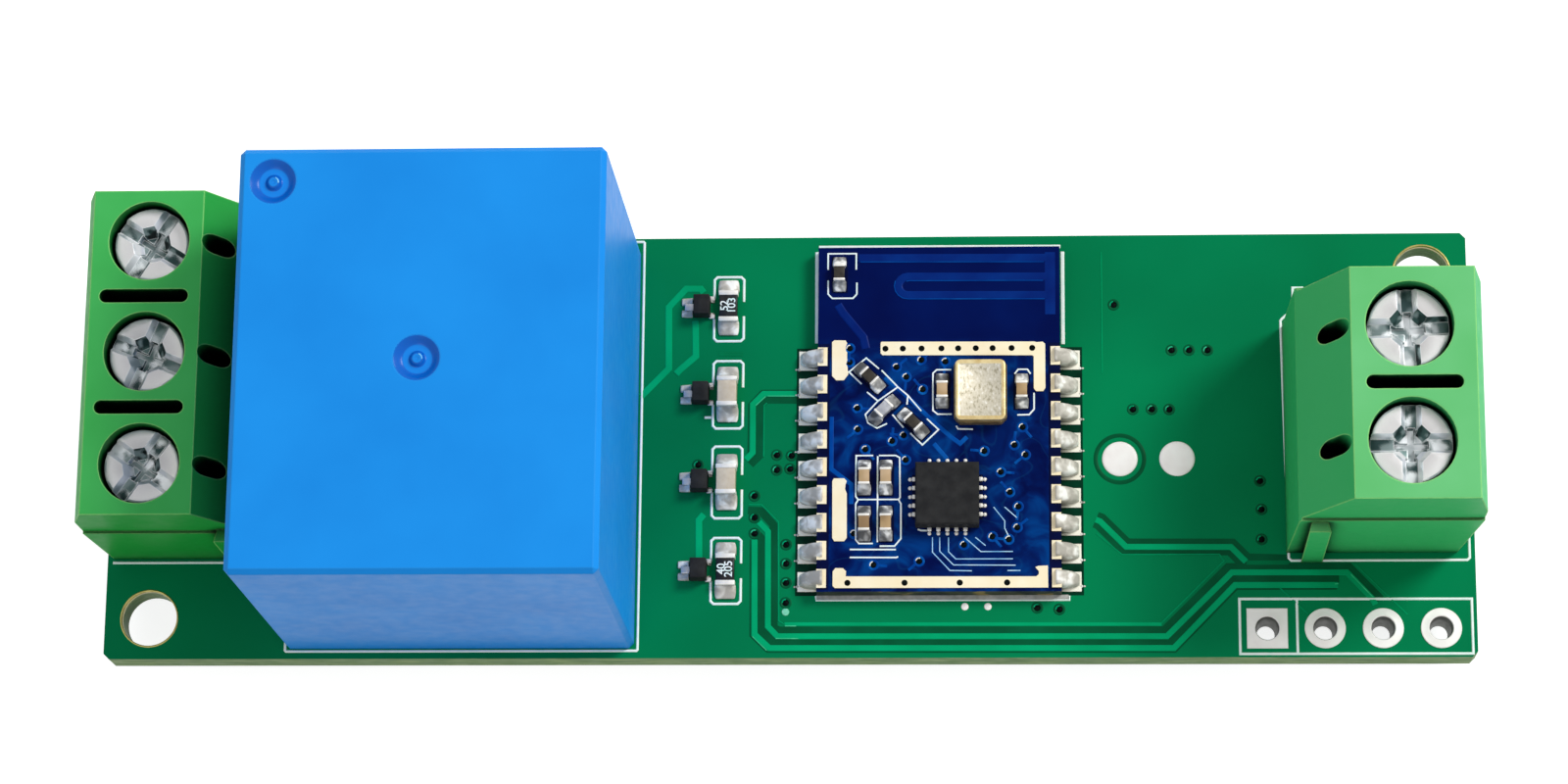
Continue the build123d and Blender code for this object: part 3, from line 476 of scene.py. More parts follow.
# Lighter blue of copper under the lacquer, also used for painted highlights along the antenna's bands.
copper_and_highlight_line = solder_mask("radio_copper_and_edge_highlight", (0, 58, 142), (0, 72, 156), (10, 88, 170), 1.2)
radio_shade = solder_mask("radio_mask_in_shade", (0, 4, 40), (0, 8, 52), (0, 12, 62), 0.8, specular=0.05)
radio_line = solder_mask("thin_radio_tracks", (120, 184, 230), (170, 216, 246), (206, 236, 252), 0.8)
radio_halo = solder_mask("radio_copper_round_vias", (0, 52, 132), (0, 68, 150), (10, 96, 172), 0.4)
# Painted reflections and light in the screw slots: the floors a mosaic of dark to white tones, a lit copy of
# the steel for walls that face the lamp and a shaded copy for walls that face away.
slot_floor = facets("screw_slot_floor", 0.42, [(36, 60, 60), (78, 100, 98), (118, 134, 134), (180, 188, 190),
                                               (240, 244, 246)])
slot_lit = facets("screw_slot_lit_wall", 0.5, [(236, 238, 246), (255, 255, 255), (176, 188, 192)])
slot_dark = facets("screw_slot_dark_wall", 0.3, [(6, 18, 18), (26, 52, 50), (60, 88, 86), (134, 152, 152)])
foot_solder = soldered("dull_solder", (84, 84, 84), (150, 150, 149), (244, 244, 240))
relay_glint = solder_mask("relay_edge_glint", (96, 184, 252), (120, 200, 255), (150, 214, 255), 0.5)
track_glint = solder_mask("track_edge_glint", (40, 176, 120), (56, 190, 134), (80, 204, 150), 0.5)
shaded_track = solder_mask("mask_over_shaded_track", (0, 104, 62), (0, 114, 68), (0, 122, 74), 1.5)
via_glint = solder_mask("glint_round_via", (0, 150, 100), (0, 170, 116), (60, 200, 150), 0.3)
mint_ink = solder_mask("thin_ink_on_mask", (90, 190, 150), (112, 206, 168), (150, 222, 190), 0.3)
# Painted shade: a near black disc stands for a hole.
hole_shade = solder_mask("dark_hole", (4, 8, 8), (8, 12, 12), (16, 22, 20), 0.2, specular=0.02)
bright_end = metal("bright_end_metal", (226, 222, 214), (246, 242, 234), 0.4, 0.4, 0.1, 0.003, 0.3)
bright_land = metal("bright_land", (250, 244, 226), (255, 252, 240), 1.0, 0.45, 0.1, 0.003, 0.1)
bare_rim = metal("bare_rim", (150, 140, 80), (190, 176, 110), 0.5, 0.4, 0.1, 0.004)
pad_metal = metal("levelled_pad_metal", (246, 240, 236), (255, 252, 248), 0.8, 0.5, 0.3, 0.004, 0.1)
front_ink = glaze("shaded_front_ink", (150, 152, 146), (192, 190, 186))
# Painted shade: the lining of the header holes is made dark grey.
shaded_barrel_metal = metal("barrel_metal_painted_dark", (84, 86, 80), (120, 122, 116), 0.8, 0.5, 0.2, 0.004, 0.3)
dark_ferrite = glaze("dark_filter_body", (34, 30, 26), (62, 56, 46))
pale_ferrite = glaze("pale_filter_body", (160, 160, 164), (196, 196, 200))

for part in frame["record"]["subparts"]:
    mesh = frame["nodes"][part["node"]].data
    mesh.materials.clear()
    mesh.materials.append(materials[part["material_slot"]])


# Helpers for meshes

def resized(bm, factor):
    bmesh.ops.scale(bm, vec=(factor, factor, factor), verts=bm.verts)


def mesh_from(bm, name):
    """The bmesh as a mesh. The bmesh is used up."""
    mesh = bpy.data.meshes.new(name)
    bm.to_mesh(mesh)
    bm.free()
    return mesh


def in_scene(name, data):
    """A new object that shows the data."""
    made = bpy.data.objects.new(name, data)
    bpy.context.scene.collection.objects.link(made)
    return made


def sharp_corners(piece, angle):
    """Smooth shading, apart from corners that turn by more than the angle."""
    piece.data.shade_smooth()
    piece.data.set_sharp_from_angle(angle=radians(angle))


def piece_from(bm, name, material, body="board", smooth=True, sharp=None):
    """Turns a bmesh in millimetres into a finished piece that rides on a body."""
    resized(bm, MM)
    mesh = mesh_from(bm, name)
    mesh.materials.append(material)
    for face in mesh.polygons:
        face.use_smooth = smooth
    piece = in_scene(name, mesh)
    if sharp:
        sharp_corners(piece, sharp)
    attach(piece, body)
    return piece


def worked_out(piece):
    """The mesh of a piece whose modifiers or letters are worked out."""
    bpy.context.view_layer.update()
    graph = bpy.context.evaluated_depsgraph_get()
    return bpy.data.meshes.new_from_object(piece.evaluated_get(graph))


def apply_modifiers(piece):
    mesh = worked_out(piece)
    piece.modifiers.clear()
    piece.data = mesh


def joined(bm, made, place=(0, 0, 0), turn=0.0):
    """Adds another bmesh to this one, turned about its own origin and then put in its place."""
    bmesh.ops.rotate(made, cent=(0, 0, 0), matrix=Matrix.Rotation(radians(turn), 3, "Z"), verts=made.verts)
    bmesh.ops.translate(made, vec=place, verts=made.verts)
    mesh = mesh_from(made, "joined")
    bm.from_mesh(mesh)
    bpy.data.meshes.remove(mesh)


def only(kind, made):
    """The vertices, the edges or the faces among what an operator made."""
    return [item for item in made if isinstance(item, kind)]


def bevelled(bm, geom, offset, affect="EDGES", segments=2):
    bmesh.ops.bevel(bm, geom=geom, offset=offset, affect=affect, segments=segments, profile=0.5, material=-1)


def mitres(path, closed):
    """A matrix for each point of a flat path, whose first axis points sideways and mitres the corner."""
    points = [Vector((x, y, 0)) for x, y in path]
    made = []
    for i, here in enumerate(points):
        after = points[(i + 1) % len(points)]
        into = (here - points[i - 1]).normalized() if closed or i else (after - here).normalized()
        out = (after - here).normalized() if closed or i < len(points) - 1 else into
        along = (into + out).normalized()
        side = Vector((-along.y, along.x, 0)) / max(along.dot(into), 0.4)
        made.append(Matrix(((side.x, along.x, 0, here.x), (side.y, along.y, 0, here.y),
                            (0, 0, 1, 0), (0, 0, 0, 1))))
    return made


def strip_section(width, height, shoulder=None):
    """A low trapezoid, from a little under the surface that it lies on."""
    shoulder = height if shoulder is None else shoulder
    half = width / 2
    return [(-half, -sunk), (half, -sunk), (half, 0), (half - shoulder, height), (shoulder - half, height),
            (-half, 0)]


def strips(name, paths, width, height, level, material, closed=False, shoulder=None):
    """Flat strips with mitred corners, each one a hair higher than the one before it."""
    section = strip_section(width, height, shoulder)
    bm = bmesh.new()
    for i, path in enumerate(paths):
        places = mitres(path, closed)
        here = level + 0.0005 * i
        points = [bm.verts.new(places[0] @ Vector((across, 0, here + up))) for across, up in section]
        first = [bm.edges.new(pair) for pair in zip(points, points[1:] + points[:1])]
        edges = first
        for before, after in zip(places, places[1:]):
            made = bmesh.ops.extrude_edge_only(bm, edges=edges)["geom"]
            edges = [edge for edge in only(BMEdge, made) if edge.is_boundary]
            bmesh.ops.transform(bm, matrix=after @ before.inverted(), verts=only(BMVert, made))
        if closed:
            bmesh.ops.bridge_loops(bm, edges=first + edges)
        else:
            bmesh.ops.edgeloop_fill(bm, edges=first)
            bmesh.ops.edgeloop_fill(bm, edges=edges)
    bmesh.ops.recalc_face_normals(bm, faces=bm.faces)
    return piece_from(bm, name, material, smooth=False)


def plates(name, outlines, height, level, material):
    """Thin flat plates from their outlines, with softened upper edges."""
    bm = bmesh.new()
    for outline in outlines:
        face = bm.faces.new([bm.verts.new((x, y, level - sunk)) for x, y in outline])
        verts = only(BMVert, bmesh.ops.extrude_face_region(bm, geom=[face])["geom"])
        bmesh.ops.translate(bm, vec=(0, 0, height + sunk), verts=verts)
        rim = [edge for edge in bm.edges if edge.verts[0] in verts and edge.verts[1] in verts]
        bevelled(bm, rim, 0.012)
    bmesh.ops.recalc_face_normals(bm, faces=bm.faces)
    return piece_from(bm, name, material, smooth=False)


def turned(bm, profile, centre, steps=32, closed=False, angle=tau, start=0.0):
    """Adds the profile, points of radius and height, turned about an upright axis."""
    cx, cy = centre
    c, s = cos(start), sin(start)
    points = [bm.verts.new((cx + r * c, cy + r * s, z)) for r, z in profile]
    pairs = list(zip(points, points[1:]))
    if closed:
        pairs.append((points[-1], points[0]))
    edges = [bm.edges.new(pair) for pair in pairs]
    full = angle == tau
    bmesh.ops.spin(bm, geom=points + edges, cent=(cx, cy, 0), axis=(0, 0, 1), angle=angle, steps=steps,
                   use_merge=full)
    if full:
        bmesh.ops.remove_doubles(bm, verts=bm.verts, dist=0.0004)
    else:
        bmesh.ops.holes_fill(bm, edges=[edge for edge in bm.edges if edge.is_boundary], sides=len(profile))
    bmesh.ops.recalc_face_normals(bm, faces=bm.faces)


def block(low, high, bevel=0.0):
    """A box between two corners with softened edges."""
    bm = bmesh.new()
    made = bmesh.ops.create_cube(bm, size=1.0)["verts"]
    low, high = Vector(low), Vector(high)
    bmesh.ops.scale(bm, vec=high - low, verts=made)
    bmesh.ops.translate(bm, vec=(low + high) / 2, verts=made)
    if bevel:
        bevelled(bm, list(bm.edges), bevel)
    return bm


def mound(width, length, high, low, sag=1.7, cuts=6, taper=0.12):
    """A fillet of solder along +Y from the origin: high where it meets the part, low at its toe."""
    bm = bmesh.new()
    bmesh.ops.create_cube(bm, size=1.0)
    bmesh.ops.subdivide_edges(bm, edges=bm.edges, cuts=cuts, use_grid_fill=True)
    for vert in bm.verts:
        across, along, lift = vert.co.x * 2, vert.co.y + 0.5, vert.co.z + 0.5
        height = low + (high - low) * (1 - along) ** sag
        height *= 0.5 + 0.5 * (1 - abs(across) ** 5) ** 0.5
        narrow = 1 - taper * along ** 4
        vert.co = (across * width / 2 * narrow, along * length, lift * height)
    bmesh.ops.smooth_vert(bm, verts=bm.verts, factor=0.3, use_axis_x=True, use_axis_y=True, use_axis_z=True)
    return bm


def boxed(x0, y0, x1, y1, corner):
    """The corner points of a rectangle with its corners cut."""
    return [(x0 + corner, y0), (x1 - corner, y0), (x1, y0 + corner), (x1, y1 - corner),
            (x1 - corner, y1), (x0 + corner, y1), (x0, y1 - corner), (x0, y0 + corner)]


def spots(name, centres, radius, level, height, material):
    """Small flat discs with a softened rim."""
    bm = bmesh.new()
    for centre in centres:
        turned(bm, [(0, level + height), (radius * 0.8, level + height), (radius, level + height * 0.3),
                    (radius, level - sunk), (0, level - sunk)], centre, steps=12)
    piece_from(bm, name, material)


# Main board: tracks, the grooves beside them and the edges of the copper pour
first_bus = [(-1.40, -4.33), (-1.35, -8.64), (-0.69, -9.25), (17.19, -9.28), (19.92, -6.45), (24.44, -6.46)]
second_bus = [(-1.20, -3.53), (-0.80, -3.96), (-0.76, -8.27), (-0.34, -8.72), (16.89, -8.75), (19.79, -5.88),
              (24.85, -5.89), (25.95, -7.10), (26.06, -7.35)]
upper_track = [(13.80, -3.47), (13.99, -3.55), (15.13, -4.71), (19.77, -4.73), (20.42, -5.40)]
radio_track = [(0.44, 2.38), (-1.06, 2.39), (-1.54, 1.89), (-1.52, -0.33), (-1.82, -0.65)]
unit_tracks = [
    [(-6.58, 2.30), (-5.36, 3.58), (-5.40, 6.45), (-4.62, 7.32), (-3.96, 7.31), (-3.83, 7.13)],
    [(-4.18, 5.81), (-4.14, 4.15), (-4.82, 3.55), (-5.02, 3.34)],
    [(-3.87, -5.31), (-3.90, -3.43), (-3.68, -3.16)],
]
shaded_tracks = [[(20.44, -5.44), (22.30, -5.44)], [(-3.10, 4.25), (-2.03, 4.24)]]
pour_strip = [[(-0.02, -8.17), (16.66, -8.21)]]
# The pour's edges are lighter lines: partly the copper edge under the lacquer, partly painted highlight.
pour_edges = [
    [(-1.67, -2.73), (-1.11, -2.73), (-0.34, -3.52), (-0.28, -8.03), (0.0, -8.20)],
    [(16.64, -8.17), (19.45, -5.36), (19.25, -5.06)],
    [(14.15, 8.93), (14.15, 3.26)],
    [(25.20, -5.50), (27.45, -7.80)],
    [(21.89, -6.59), (23.10, -7.76)],
    [(13.80, -4.10), (14.95, -5.06), (19.25, -5.06)],
    [(-0.90, 1.96), (-1.03, 1.84), (-1.03, -0.52)],
]
glints = [[(-0.86, 2.28), (0.34, 2.27)], [(-1.40, 1.84), (-0.96, 2.26)], [(-1.44, -8.73), (-0.80, -9.36)],
          [(0.0, -8.26), (0.5, -8.26)], [(-0.40, -8.82), (0.6, -8.83)], [(25.02, -5.99), (26.0, -7.06)],
          [(24.30, -6.42), (24.46, -6.40)]]
wide_grooves = [upper_track + [(22.30, -5.46)]]
side_grooves = [
    [(0.44, 2.10), (-0.94, 2.11), (-1.21, 1.83), (-1.20, -0.46), (-1.62, -0.88)],
    [(-1.70, -2.98), (-1.12, -3.02), (-0.55, -3.66), (-0.50, -8.36), (-0.22, -8.46), (16.77, -8.48),
     (19.62, -5.64), (24.94, -5.64), (26.3, -7.10)],
    [(-1.24, -4.1), (-1.06, -4.3), (-1.05, -8.45), (-0.50, -8.98), (17.04, -9.01), (19.86, -6.17),
     (24.5, -6.17)],
]
outer_shades = [
    [(-1.57, -4.33), (-1.54, -8.70), (-0.78, -9.43), (17.26, -9.46), (20.00, -6.64), (24.4, -6.64)],
    [(-1.72, -0.5), (-1.71, 1.92), (-1.14, 2.54), (0.4, 2.54)],
]
bus_tracks = [first_bus, second_bus, upper_track, radio_track]

groove_up = 0.002
groove_shoulder = 0.001
groove_level = board_top + 0.001
shade_level = board_top + 0.003
copper_level = board_top + 0.004
bus_level = board_top + 0.005
glint_level = board_top + track_up

for name, paths, width, level in (("wide_track_grooves", wide_grooves, 0.76, board_top),
                                  ("track_grooves", side_grooves, 0.36, groove_level),
                                  ("track_shades", outer_shades, 0.07, shade_level)):
    strips(name, paths, width, groove_up, level, mask_in_grooves, shoulder=groove_shoulder)
for name, paths, width, height, level, finish in (
        ("bus_tracks", bus_tracks, track_w - 0.03, track_up, bus_level, mask_over_tracks),
        ("unit_tracks", unit_tracks, track_w, track_up, board_top, mask_over_tracks),
        ("shaded_tracks", shaded_tracks, 0.2, track_up / 2, copper_level, shaded_track),
        ("pour_strip", pour_strip, 0.17, track_up, copper_level, mask_over_tracks),
        ("pour_edges", pour_edges, 0.06, track_up, copper_level, mask_over_pour)):
    strips(name, paths, width, height, level, finish)
strips("track_glints", glints, 0.045, 0.012, glint_level, track_glint, shoulder=0.004)

# Vias: a hole in painted shade, a low ring (lighter copper on the module, a darker halo on the main board)
# and a crescent of painted highlight at one side
board_vias = [
    (-0.43, -0.45), (0.23, -0.48), (-0.43, -1.14), (0.17, -1.09), (-1.42, -2.33), (-1.41, -3.32),
    (-1.40, -4.05), (0.02, -4.56), (0.02, -5.43), (0.03, -6.30), (0.02, -7.21), (14.69, 6.44),
    (17.26, 4.31), (18.04, 4.31), (18.86, 4.30), (15.50, 1.58), (16.34, 1.58), (17.12, 1.57),
    (21.10, -1.73), (21.14, -3.03), (21.12, -4.39), (11.18, -7.46), (12.16, -7.53), (-3.97, -0.89),
]
filled_vias = [(7.98, -7.40), (9.00, -7.40)]
mint_spots = [(0.02, -7.62)]
radio_vias = [
    (4.94, 3.39), (5.38, 2.93), (6.12, 2.35), (3.19, 1.5), (3.22, 0.52), (4.75, -0.02), (3.56, -0.4),
    (5.27, 0.24), (6.05, 3.71), (7.13, 3.63), (5.36, -0.89), (3.94, -5.67), (5.97, -5.51),
    (7.95, -4.77), (9.21, -4.4), (9.94, -4.53), (10.31, -3.99), (10.36, -3.04), (9.99, -2.38),
    (9.59, -1.46), (10.69, -0.68), (10.2, -0.23), (10.57, 0.59), (8.86, -0.5), (3.07, -4.24),
    (2.85, 4.26), (2.84, 3.62),
]
via_hole_r = 0.15
via_up = 0.012
glint_from = radians(70)
glint_sweep = radians(100)


def vias(name, centres, level, scale, ring, glint):
    """Rings with a hole in painted shade in each and a thin crescent of painted highlight, as three pieces.
    """
    hole, outer = scale * via_hole_r, scale * via_hole_r * 1.9
    low, high = level - sunk, level + via_up
    rings = bmesh.new()
    holes = bmesh.new()
    glints = bmesh.new()
    for i, centre in enumerate(centres):
        turned(rings, [(hole, low), (hole, high), (outer - 0.03, high), (outer, low)], centre, steps=16,
               closed=True)
        turned(holes, [(0, level + 0.008), (hole + 0.01, level + 0.006), (hole + 0.01, low), (0, low)],
               centre, steps=12)
        turned(glints, [(hole * 0.86, level - 0.005), (hole * 0.86, high), (hole * 1.2, level + 0.016),
                        (hole * 1.25, level - 0.005)], centre, steps=6, closed=True, angle=glint_sweep,
               start=glint_from + 0.25 * (i % 3))
    piece_from(rings, name + "_rings", ring)
    piece_from(holes, name + "_holes", hole_shade)
    piece_from(glints, name + "_glints", glint)


vias("board_via", board_vias, board_top, 1.0, mask_in_grooves, via_glint)
vias("radio_via", radio_vias, radio_top, 0.95, radio_halo, bright_end)
filled_r = 0.17
spots("mint_spots", mint_spots, filled_r, board_top, via_up, mint_ink)
spots("filled_vias", filled_vias, filled_r, board_top, 0.03, pad_metal)


# White ink on the main board

relay_low, relay_high = low_of("relay_case"), high_of("relay_case")

unit_x = -2.66
unit_rows = [(6.35, 3.0), (2.35, 3.13), (-1.70, 3.3), (-5.75, 3.0)]
bracket_w = 1.34
gap_right, gap_left = 0.68, 0.92
bracket_corner = 0.13


def brackets(cy, height):
    """Two facing C shapes round a unit of the row, with a gap at each side."""
    w, h, corner = bracket_w / 2, height / 2, bracket_corner
    upper = [(-w, gap_left / 2), (-w, h - corner), (-w + corner, h), (w - corner, h), (w, h - corner),
             (w, gap_right / 2)]
    return [[(unit_x + x, cy + side * y) for x, y in upper] for side in (1, -1)]


board_ink = []
for row_y, row_h in unit_rows:
    board_ink += brackets(row_y, row_h)
board_ink += [[(22.15, 5.69), (22.31, -5.24), (22.42, -5.35), (30.14, -5.35), (30.25, -5.25), (30.25, -4.34)],
              [(22.17, 5.69), (22.72, 6.2), (22.72, 7.18), (23.2, 7.18)],
              [(23.5, -9.55), (20.10, -9.55), (20.10, -7.08), (30.28, -7.10), (30.28, -9.55), (23.5, -9.55)],
              [(22.62, -9.53), (22.62, -7.1)],
              [(-30.26, -5.3), (-22.4, -5.3)],
              [(-3.70, 1.30), (-3.41, 1.30)]]
strips("board_ink", board_ink, ink_w, ink_up, board_top, ink)
relay_outline = boxed(relay_low.x - 0.02, -9.36, -6.55, 9.55, 0.05)
strips("relay_ink_outline", [relay_outline], ink_w, ink_up, board_top, ink, closed=True)

radio_sides = [[(1.32, 9.0), (1.34, 4.72)], [(12.40, 8.95), (12.40, 4.62)], [(1.40, 9.22), (12.32, 9.19)]]
radio_front = [(1.40, -6.97), (12.58, -6.97)]
radio_front_rim = [(1.36, -6.90), (1.39, -7.10), (12.60, -7.11), (12.61, -6.92)]
strips("radio_ink_sides", radio_sides, 0.18, ink_up, board_top, ink)
strips("radio_ink_front", [radio_front], 0.22, ink_up, board_top, front_ink)
strips("radio_ink_front_rim", [radio_front_rim], 0.08, ink_up + 0.012, board_top, ink)


# Mount hole rims, test pads and header pads

mount_holes = [(-28.5, -7.85), (28.5, 7.85)]
mount_hole_r = 1.25
rim_up = 0.012
rim_depth = 0.3
rims = bmesh.new()
for place in mount_holes:
    turned(rims, [(mount_hole_r - 0.01, board_top - rim_depth), (mount_hole_r - 0.01, board_top + rim_up),
                  (mount_hole_r + 0.07, board_top + rim_up), (mount_hole_r + 0.1, board_top - rim_depth)],
           place, steps=56, closed=True)
piece_from(rims, "mount_hole_rims", bare_rim)

test_low, test_high = low_of("test_pads"), high_of("test_pads")
test_r = (test_high.y - test_low.y) / 2
test_y = (test_high.y + test_low.y) / 2
test_places = [(test_low.x + test_r, test_y), (test_high.x - test_r, test_y)]
pads = bmesh.new()
for place in test_places:
    turned(pads, [(0, test_high.z), (test_r * 0.5, test_high.z), (test_r * 0.85, test_high.z - 0.006),
                  (test_r - 0.02, test_high.z - 0.03), (test_r, board_top), (0, board_top)], place, steps=48)
domes = piece_from(pads, "test_pad_domes", pad_metal)
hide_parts("test_pads")

groove = bmesh.new()
groove_in, groove_out, pad_groove_up = 0.98, 1.18, 0.004
turned(groove, [(groove_in, board_top - sunk), (groove_in + 0.01, board_top + pad_groove_up),
                (groove_out - 0.01, board_top + pad_groove_up), (groove_out, board_top - sunk)],
       test_places[0], steps=48, closed=True)
piece_from(groove, "test_pad_groove", mask_in_grooves)

header_low, header_high = low_of("header_pads"), high_of("header_pads")
header_y = (header_low.y + header_high.y) / 2
ring_r = (header_high.y - header_low.y) / 2
header_bore_r = 0.525
header_count = 4
header_pitch = (header_high.x - header_low.x - 2 * ring_r) / (header_count - 1)
levelled = bmesh.new()
barrels = bmesh.new()
for i in range(header_count):
    place = (header_low.x + ring_r + i * header_pitch, header_y)
    high, low, bore = header_high.z, header_low.z, header_bore_r
    made = bmesh.new()
    profile = [(bore, high - 0.02), (bore + 0.03, high + rim_up), (bore + 0.07, high + rim_up),
               (bore + 0.1, high), (ring_r - 0.03, high), (ring_r, high - 0.03),
               (ring_r, board_top - sunk), (bore + 0.06, board_top - sunk),
               (bore + 0.06, board_low.z + sunk), (ring_r, board_low.z + sunk),
               (ring_r, low + 0.03), (ring_r - 0.03, low), (bore, low)]
    turned(made, profile, (0, 0), steps=48, closed=True)
    if i == 0:
        for vert in made.verts:
            radius = Vector((vert.co.x, vert.co.y)).length
            if radius > ring_r - 0.05:
                grow = radius / max(abs(vert.co.x), abs(vert.co.y))
                vert.co.x *= grow
                vert.co.y *= grow
    joined(levelled, made, (*place, 0))
    # Painted shade: a dark lining, narrower at the bottom, in each header hole.
    turned(barrels, [(bore, high - 0.04), (bore, low + 0.03), (bore - 0.12, low + 0.04),
                     (bore - 0.015, high - 0.06)], place, steps=32, closed=True)
piece_from(barrels, "header_barrels", shaded_barrel_metal)
header_rings = piece_from(levelled, "header_rings", pad_metal, sharp=40)
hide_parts("header_pads")


# Relay: its two dimples, smooth bowls with a nipple

dimple_r = 1.0
draft = 0.05
vent_inset = 1.45
dimples = [(relay_low.x + draft + vent_inset, relay_high.y - draft - vent_inset), middle_of("relay_case")]
bowls = bmesh.new()
gleams = bmesh.new()
for place in dimples:
    top = relay_high.z
    nipple = [(0, top - 0.14), (0.07, top - 0.13), (0.12, top - 0.11), (0.2, top - 0.11), (0.27, top - 0.16),
              (0.32, top - 0.26), (0.38, top - 0.287)]
    wall = [(0.62, top - 0.285), (0.7, top - 0.24), (0.8, top - 0.16), (0.95, top - 0.03),
            (dimple_r, top - 0.002)]
    underside = [(dimple_r, top - 0.06), (0.6, top - 0.33), (0, top - 0.33)]
    turned(bowls, nipple + wall + underside, place, steps=48)
    turned(gleams, [(dimple_r - 0.01, top - 0.02), (dimple_r, top - 0.001), (dimple_r + 0.045, top - 0.001),
                    (dimple_r + 0.05, top - 0.02)], place, steps=24, closed=True, angle=radians(140),
           start=radians(150))
    turned(gleams, [(0.17, top - 0.13), (0.18, top - 0.098), (0.23, top - 0.1), (0.24, top - 0.14)], place,
           steps=12, closed=True, angle=radians(80), start=radians(-10))
piece_from(bowls, "relay_dimple_bowls", dimple_blue())
piece_from(gleams, "relay_dimple_gleams", relay_glint)


# Screws

def helix_ridge(bm, centre, radius, ridge, low, high, pitch):
    """A thread: a small triangle carried up and round the shank."""
    cx, cy = centre
    per_turn = 20
    turns = (high - low) / pitch
    points = [bm.verts.new((cx + radius - 0.06, cy, low)),
              bm.verts.new((cx + radius + ridge, cy, low + pitch * 0.3)),
              bm.verts.new((cx + radius - 0.06, cy, low + pitch * 0.6))]
    edges = [bm.edges.new(pair) for pair in zip(points, points[1:] + points[:1])]
    steps = int(turns * per_turn)
    bmesh.ops.spin(bm, geom=points + edges, cent=(cx, cy, 0), axis=(0, 0, 1), angle=tau * turns, steps=steps,
                   dvec=(0, 0, (high - low) / steps))
    bmesh.ops.holes_fill(bm, edges=[edge for edge in bm.edges if edge.is_boundary], sides=3)


def wedge_bar(reach, floor_w, open_w, depth, top):
    """A bar along X that is narrow at its floor and wide at its open top."""
    bar = block((-reach, -0.5, top - depth), (reach, 0.5, top + 0.2))
    for vert in bar.verts:
        width = floor_w if vert.co.z < top else open_w + (open_w - floor_w) * 0.2 / depth
        vert.co.y = width / 2 if vert.co.y > 0 else -width / 2
    return bar


def cut_out(piece, tool, centre, turn):
    """Cuts a tool, made about its own axis, out of a piece."""
    bm = bmesh.new()
    joined(bm, tool, (*centre, 0), turn)
    resized(bm, MM)
    cutter = in_scene("tool", mesh_from(bm, "tool"))
    cut = piece.modifiers.new("cut", "BOOLEAN")
    cut.object = cutter
    cut.solver = "EXACT"
    apply_modifiers(piece)
    bpy.data.objects.remove(cutter)


def screw(name, head_h, shank_d, pitch, slot_w, turn):
    """A cheese-head screw: a cross open to the rim, a star in the middle and a threaded shank."""
    low, high = low_of(name), high_of(name)
    centre = middle_of(name)
    r, top = (high.x - low.x) / 2, high.z
    thread_h = 0.1
    core = shank_d / 2 - thread_h
    neck = top - head_h
    slot_depth = 0.36
    rim_w = 0.13
    bm = bmesh.new()
    turned(bm, [(0, top), (r - 0.12, top), (r - 0.04, top - 0.03), (r, top - 0.12),
                (r, neck + 0.08), (r - 0.06, neck), (core, neck), (core, low.z + 0.25),
                (core - 0.25, low.z), (0, low.z)], centre, steps=64)
    head = piece_from(bm, name + "_detailed", materials["screw_steel"], body=name)
    for quarter in (0, 90):
        slot = wedge_bar(r + 0.3, slot_w, slot_w + slot_depth, slot_depth, top)
        cut_out(head, slot, centre, turn + quarter)
    pocket = bmesh.new()
    bmesh.ops.create_cone(pocket, cap_ends=True, segments=8, radius1=r * 0.3, radius2=r * 0.56, depth=0.72)
    bmesh.ops.translate(pocket, vec=(0, 0, top - 0.3), verts=pocket.verts)
    cut_out(head, pocket, centre, turn + 22.5)
    for quarter in (0, 90):
        cut_out(head, wedge_bar(r * 0.42, slot_w * 0.5, slot_w * 0.9, 0.85, top), centre, turn + quarter)
    soften = head.modifiers.new("edges", "BEVEL")
    soften.width = 0.035 * MM
    soften.segments = 2
    soften.limit_method = "ANGLE"
    soften.angle_limit = radians(35)
    apply_modifiers(head)
    bm = bmesh.new()
    bm.from_mesh(head.data)
    resized(bm, 1 / MM)
    helix_ridge(bm, centre, core, thread_h, low.z + 0.3, neck - 0.1, pitch)
    resized(bm, MM)
    bm.to_mesh(head.data)
    bm.free()
    sharp_corners(head, 28)
    for metal_tone in (slot_floor, slot_lit, slot_dark):
        head.data.materials.append(metal_tone)
    # Painted light: level faces in the slots take the reflection mosaic, walls that face the lamp and
    # bevelled rims the lit copy, other walls the shaded copy.
    plated, floor, lit_wall, dark_wall = range(4)
    for face in head.data.polygons:
        height, facing = face.center.z / MM, face.normal
        if height < neck + 0.3:
            continue
        out = (Vector((face.center.x, face.center.y)) / MM - Vector(centre)).length
        level = facing.z > 0.985
        if level or out < r * 0.4:
            face.material_index = plated if height > top - 0.05 else floor
        elif facing.z > 0.2 and height > top - rim_w:
            face.material_index = lit_wall
        elif out < r - rim_w:
            towards_light = facing.x + 1.2 * facing.y > -0.05
            face.material_index = lit_wall if towards_light else dark_wall
    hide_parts(name)


left_screw_turns = (58, 68, 55)
right_screw_turns = (2, 0)
for index, turn in enumerate(left_screw_turns, 1):
    screw(f"left_screw_{index}", 1.3, 2.5, 0.45, 0.46, turn)
for index, turn in enumerate(right_screw_turns, 1):
    screw(f"right_screw_{index}", 1.6, 3.0, 0.5, 0.5, turn)


# Rows beside the relay: chip parts and transistors

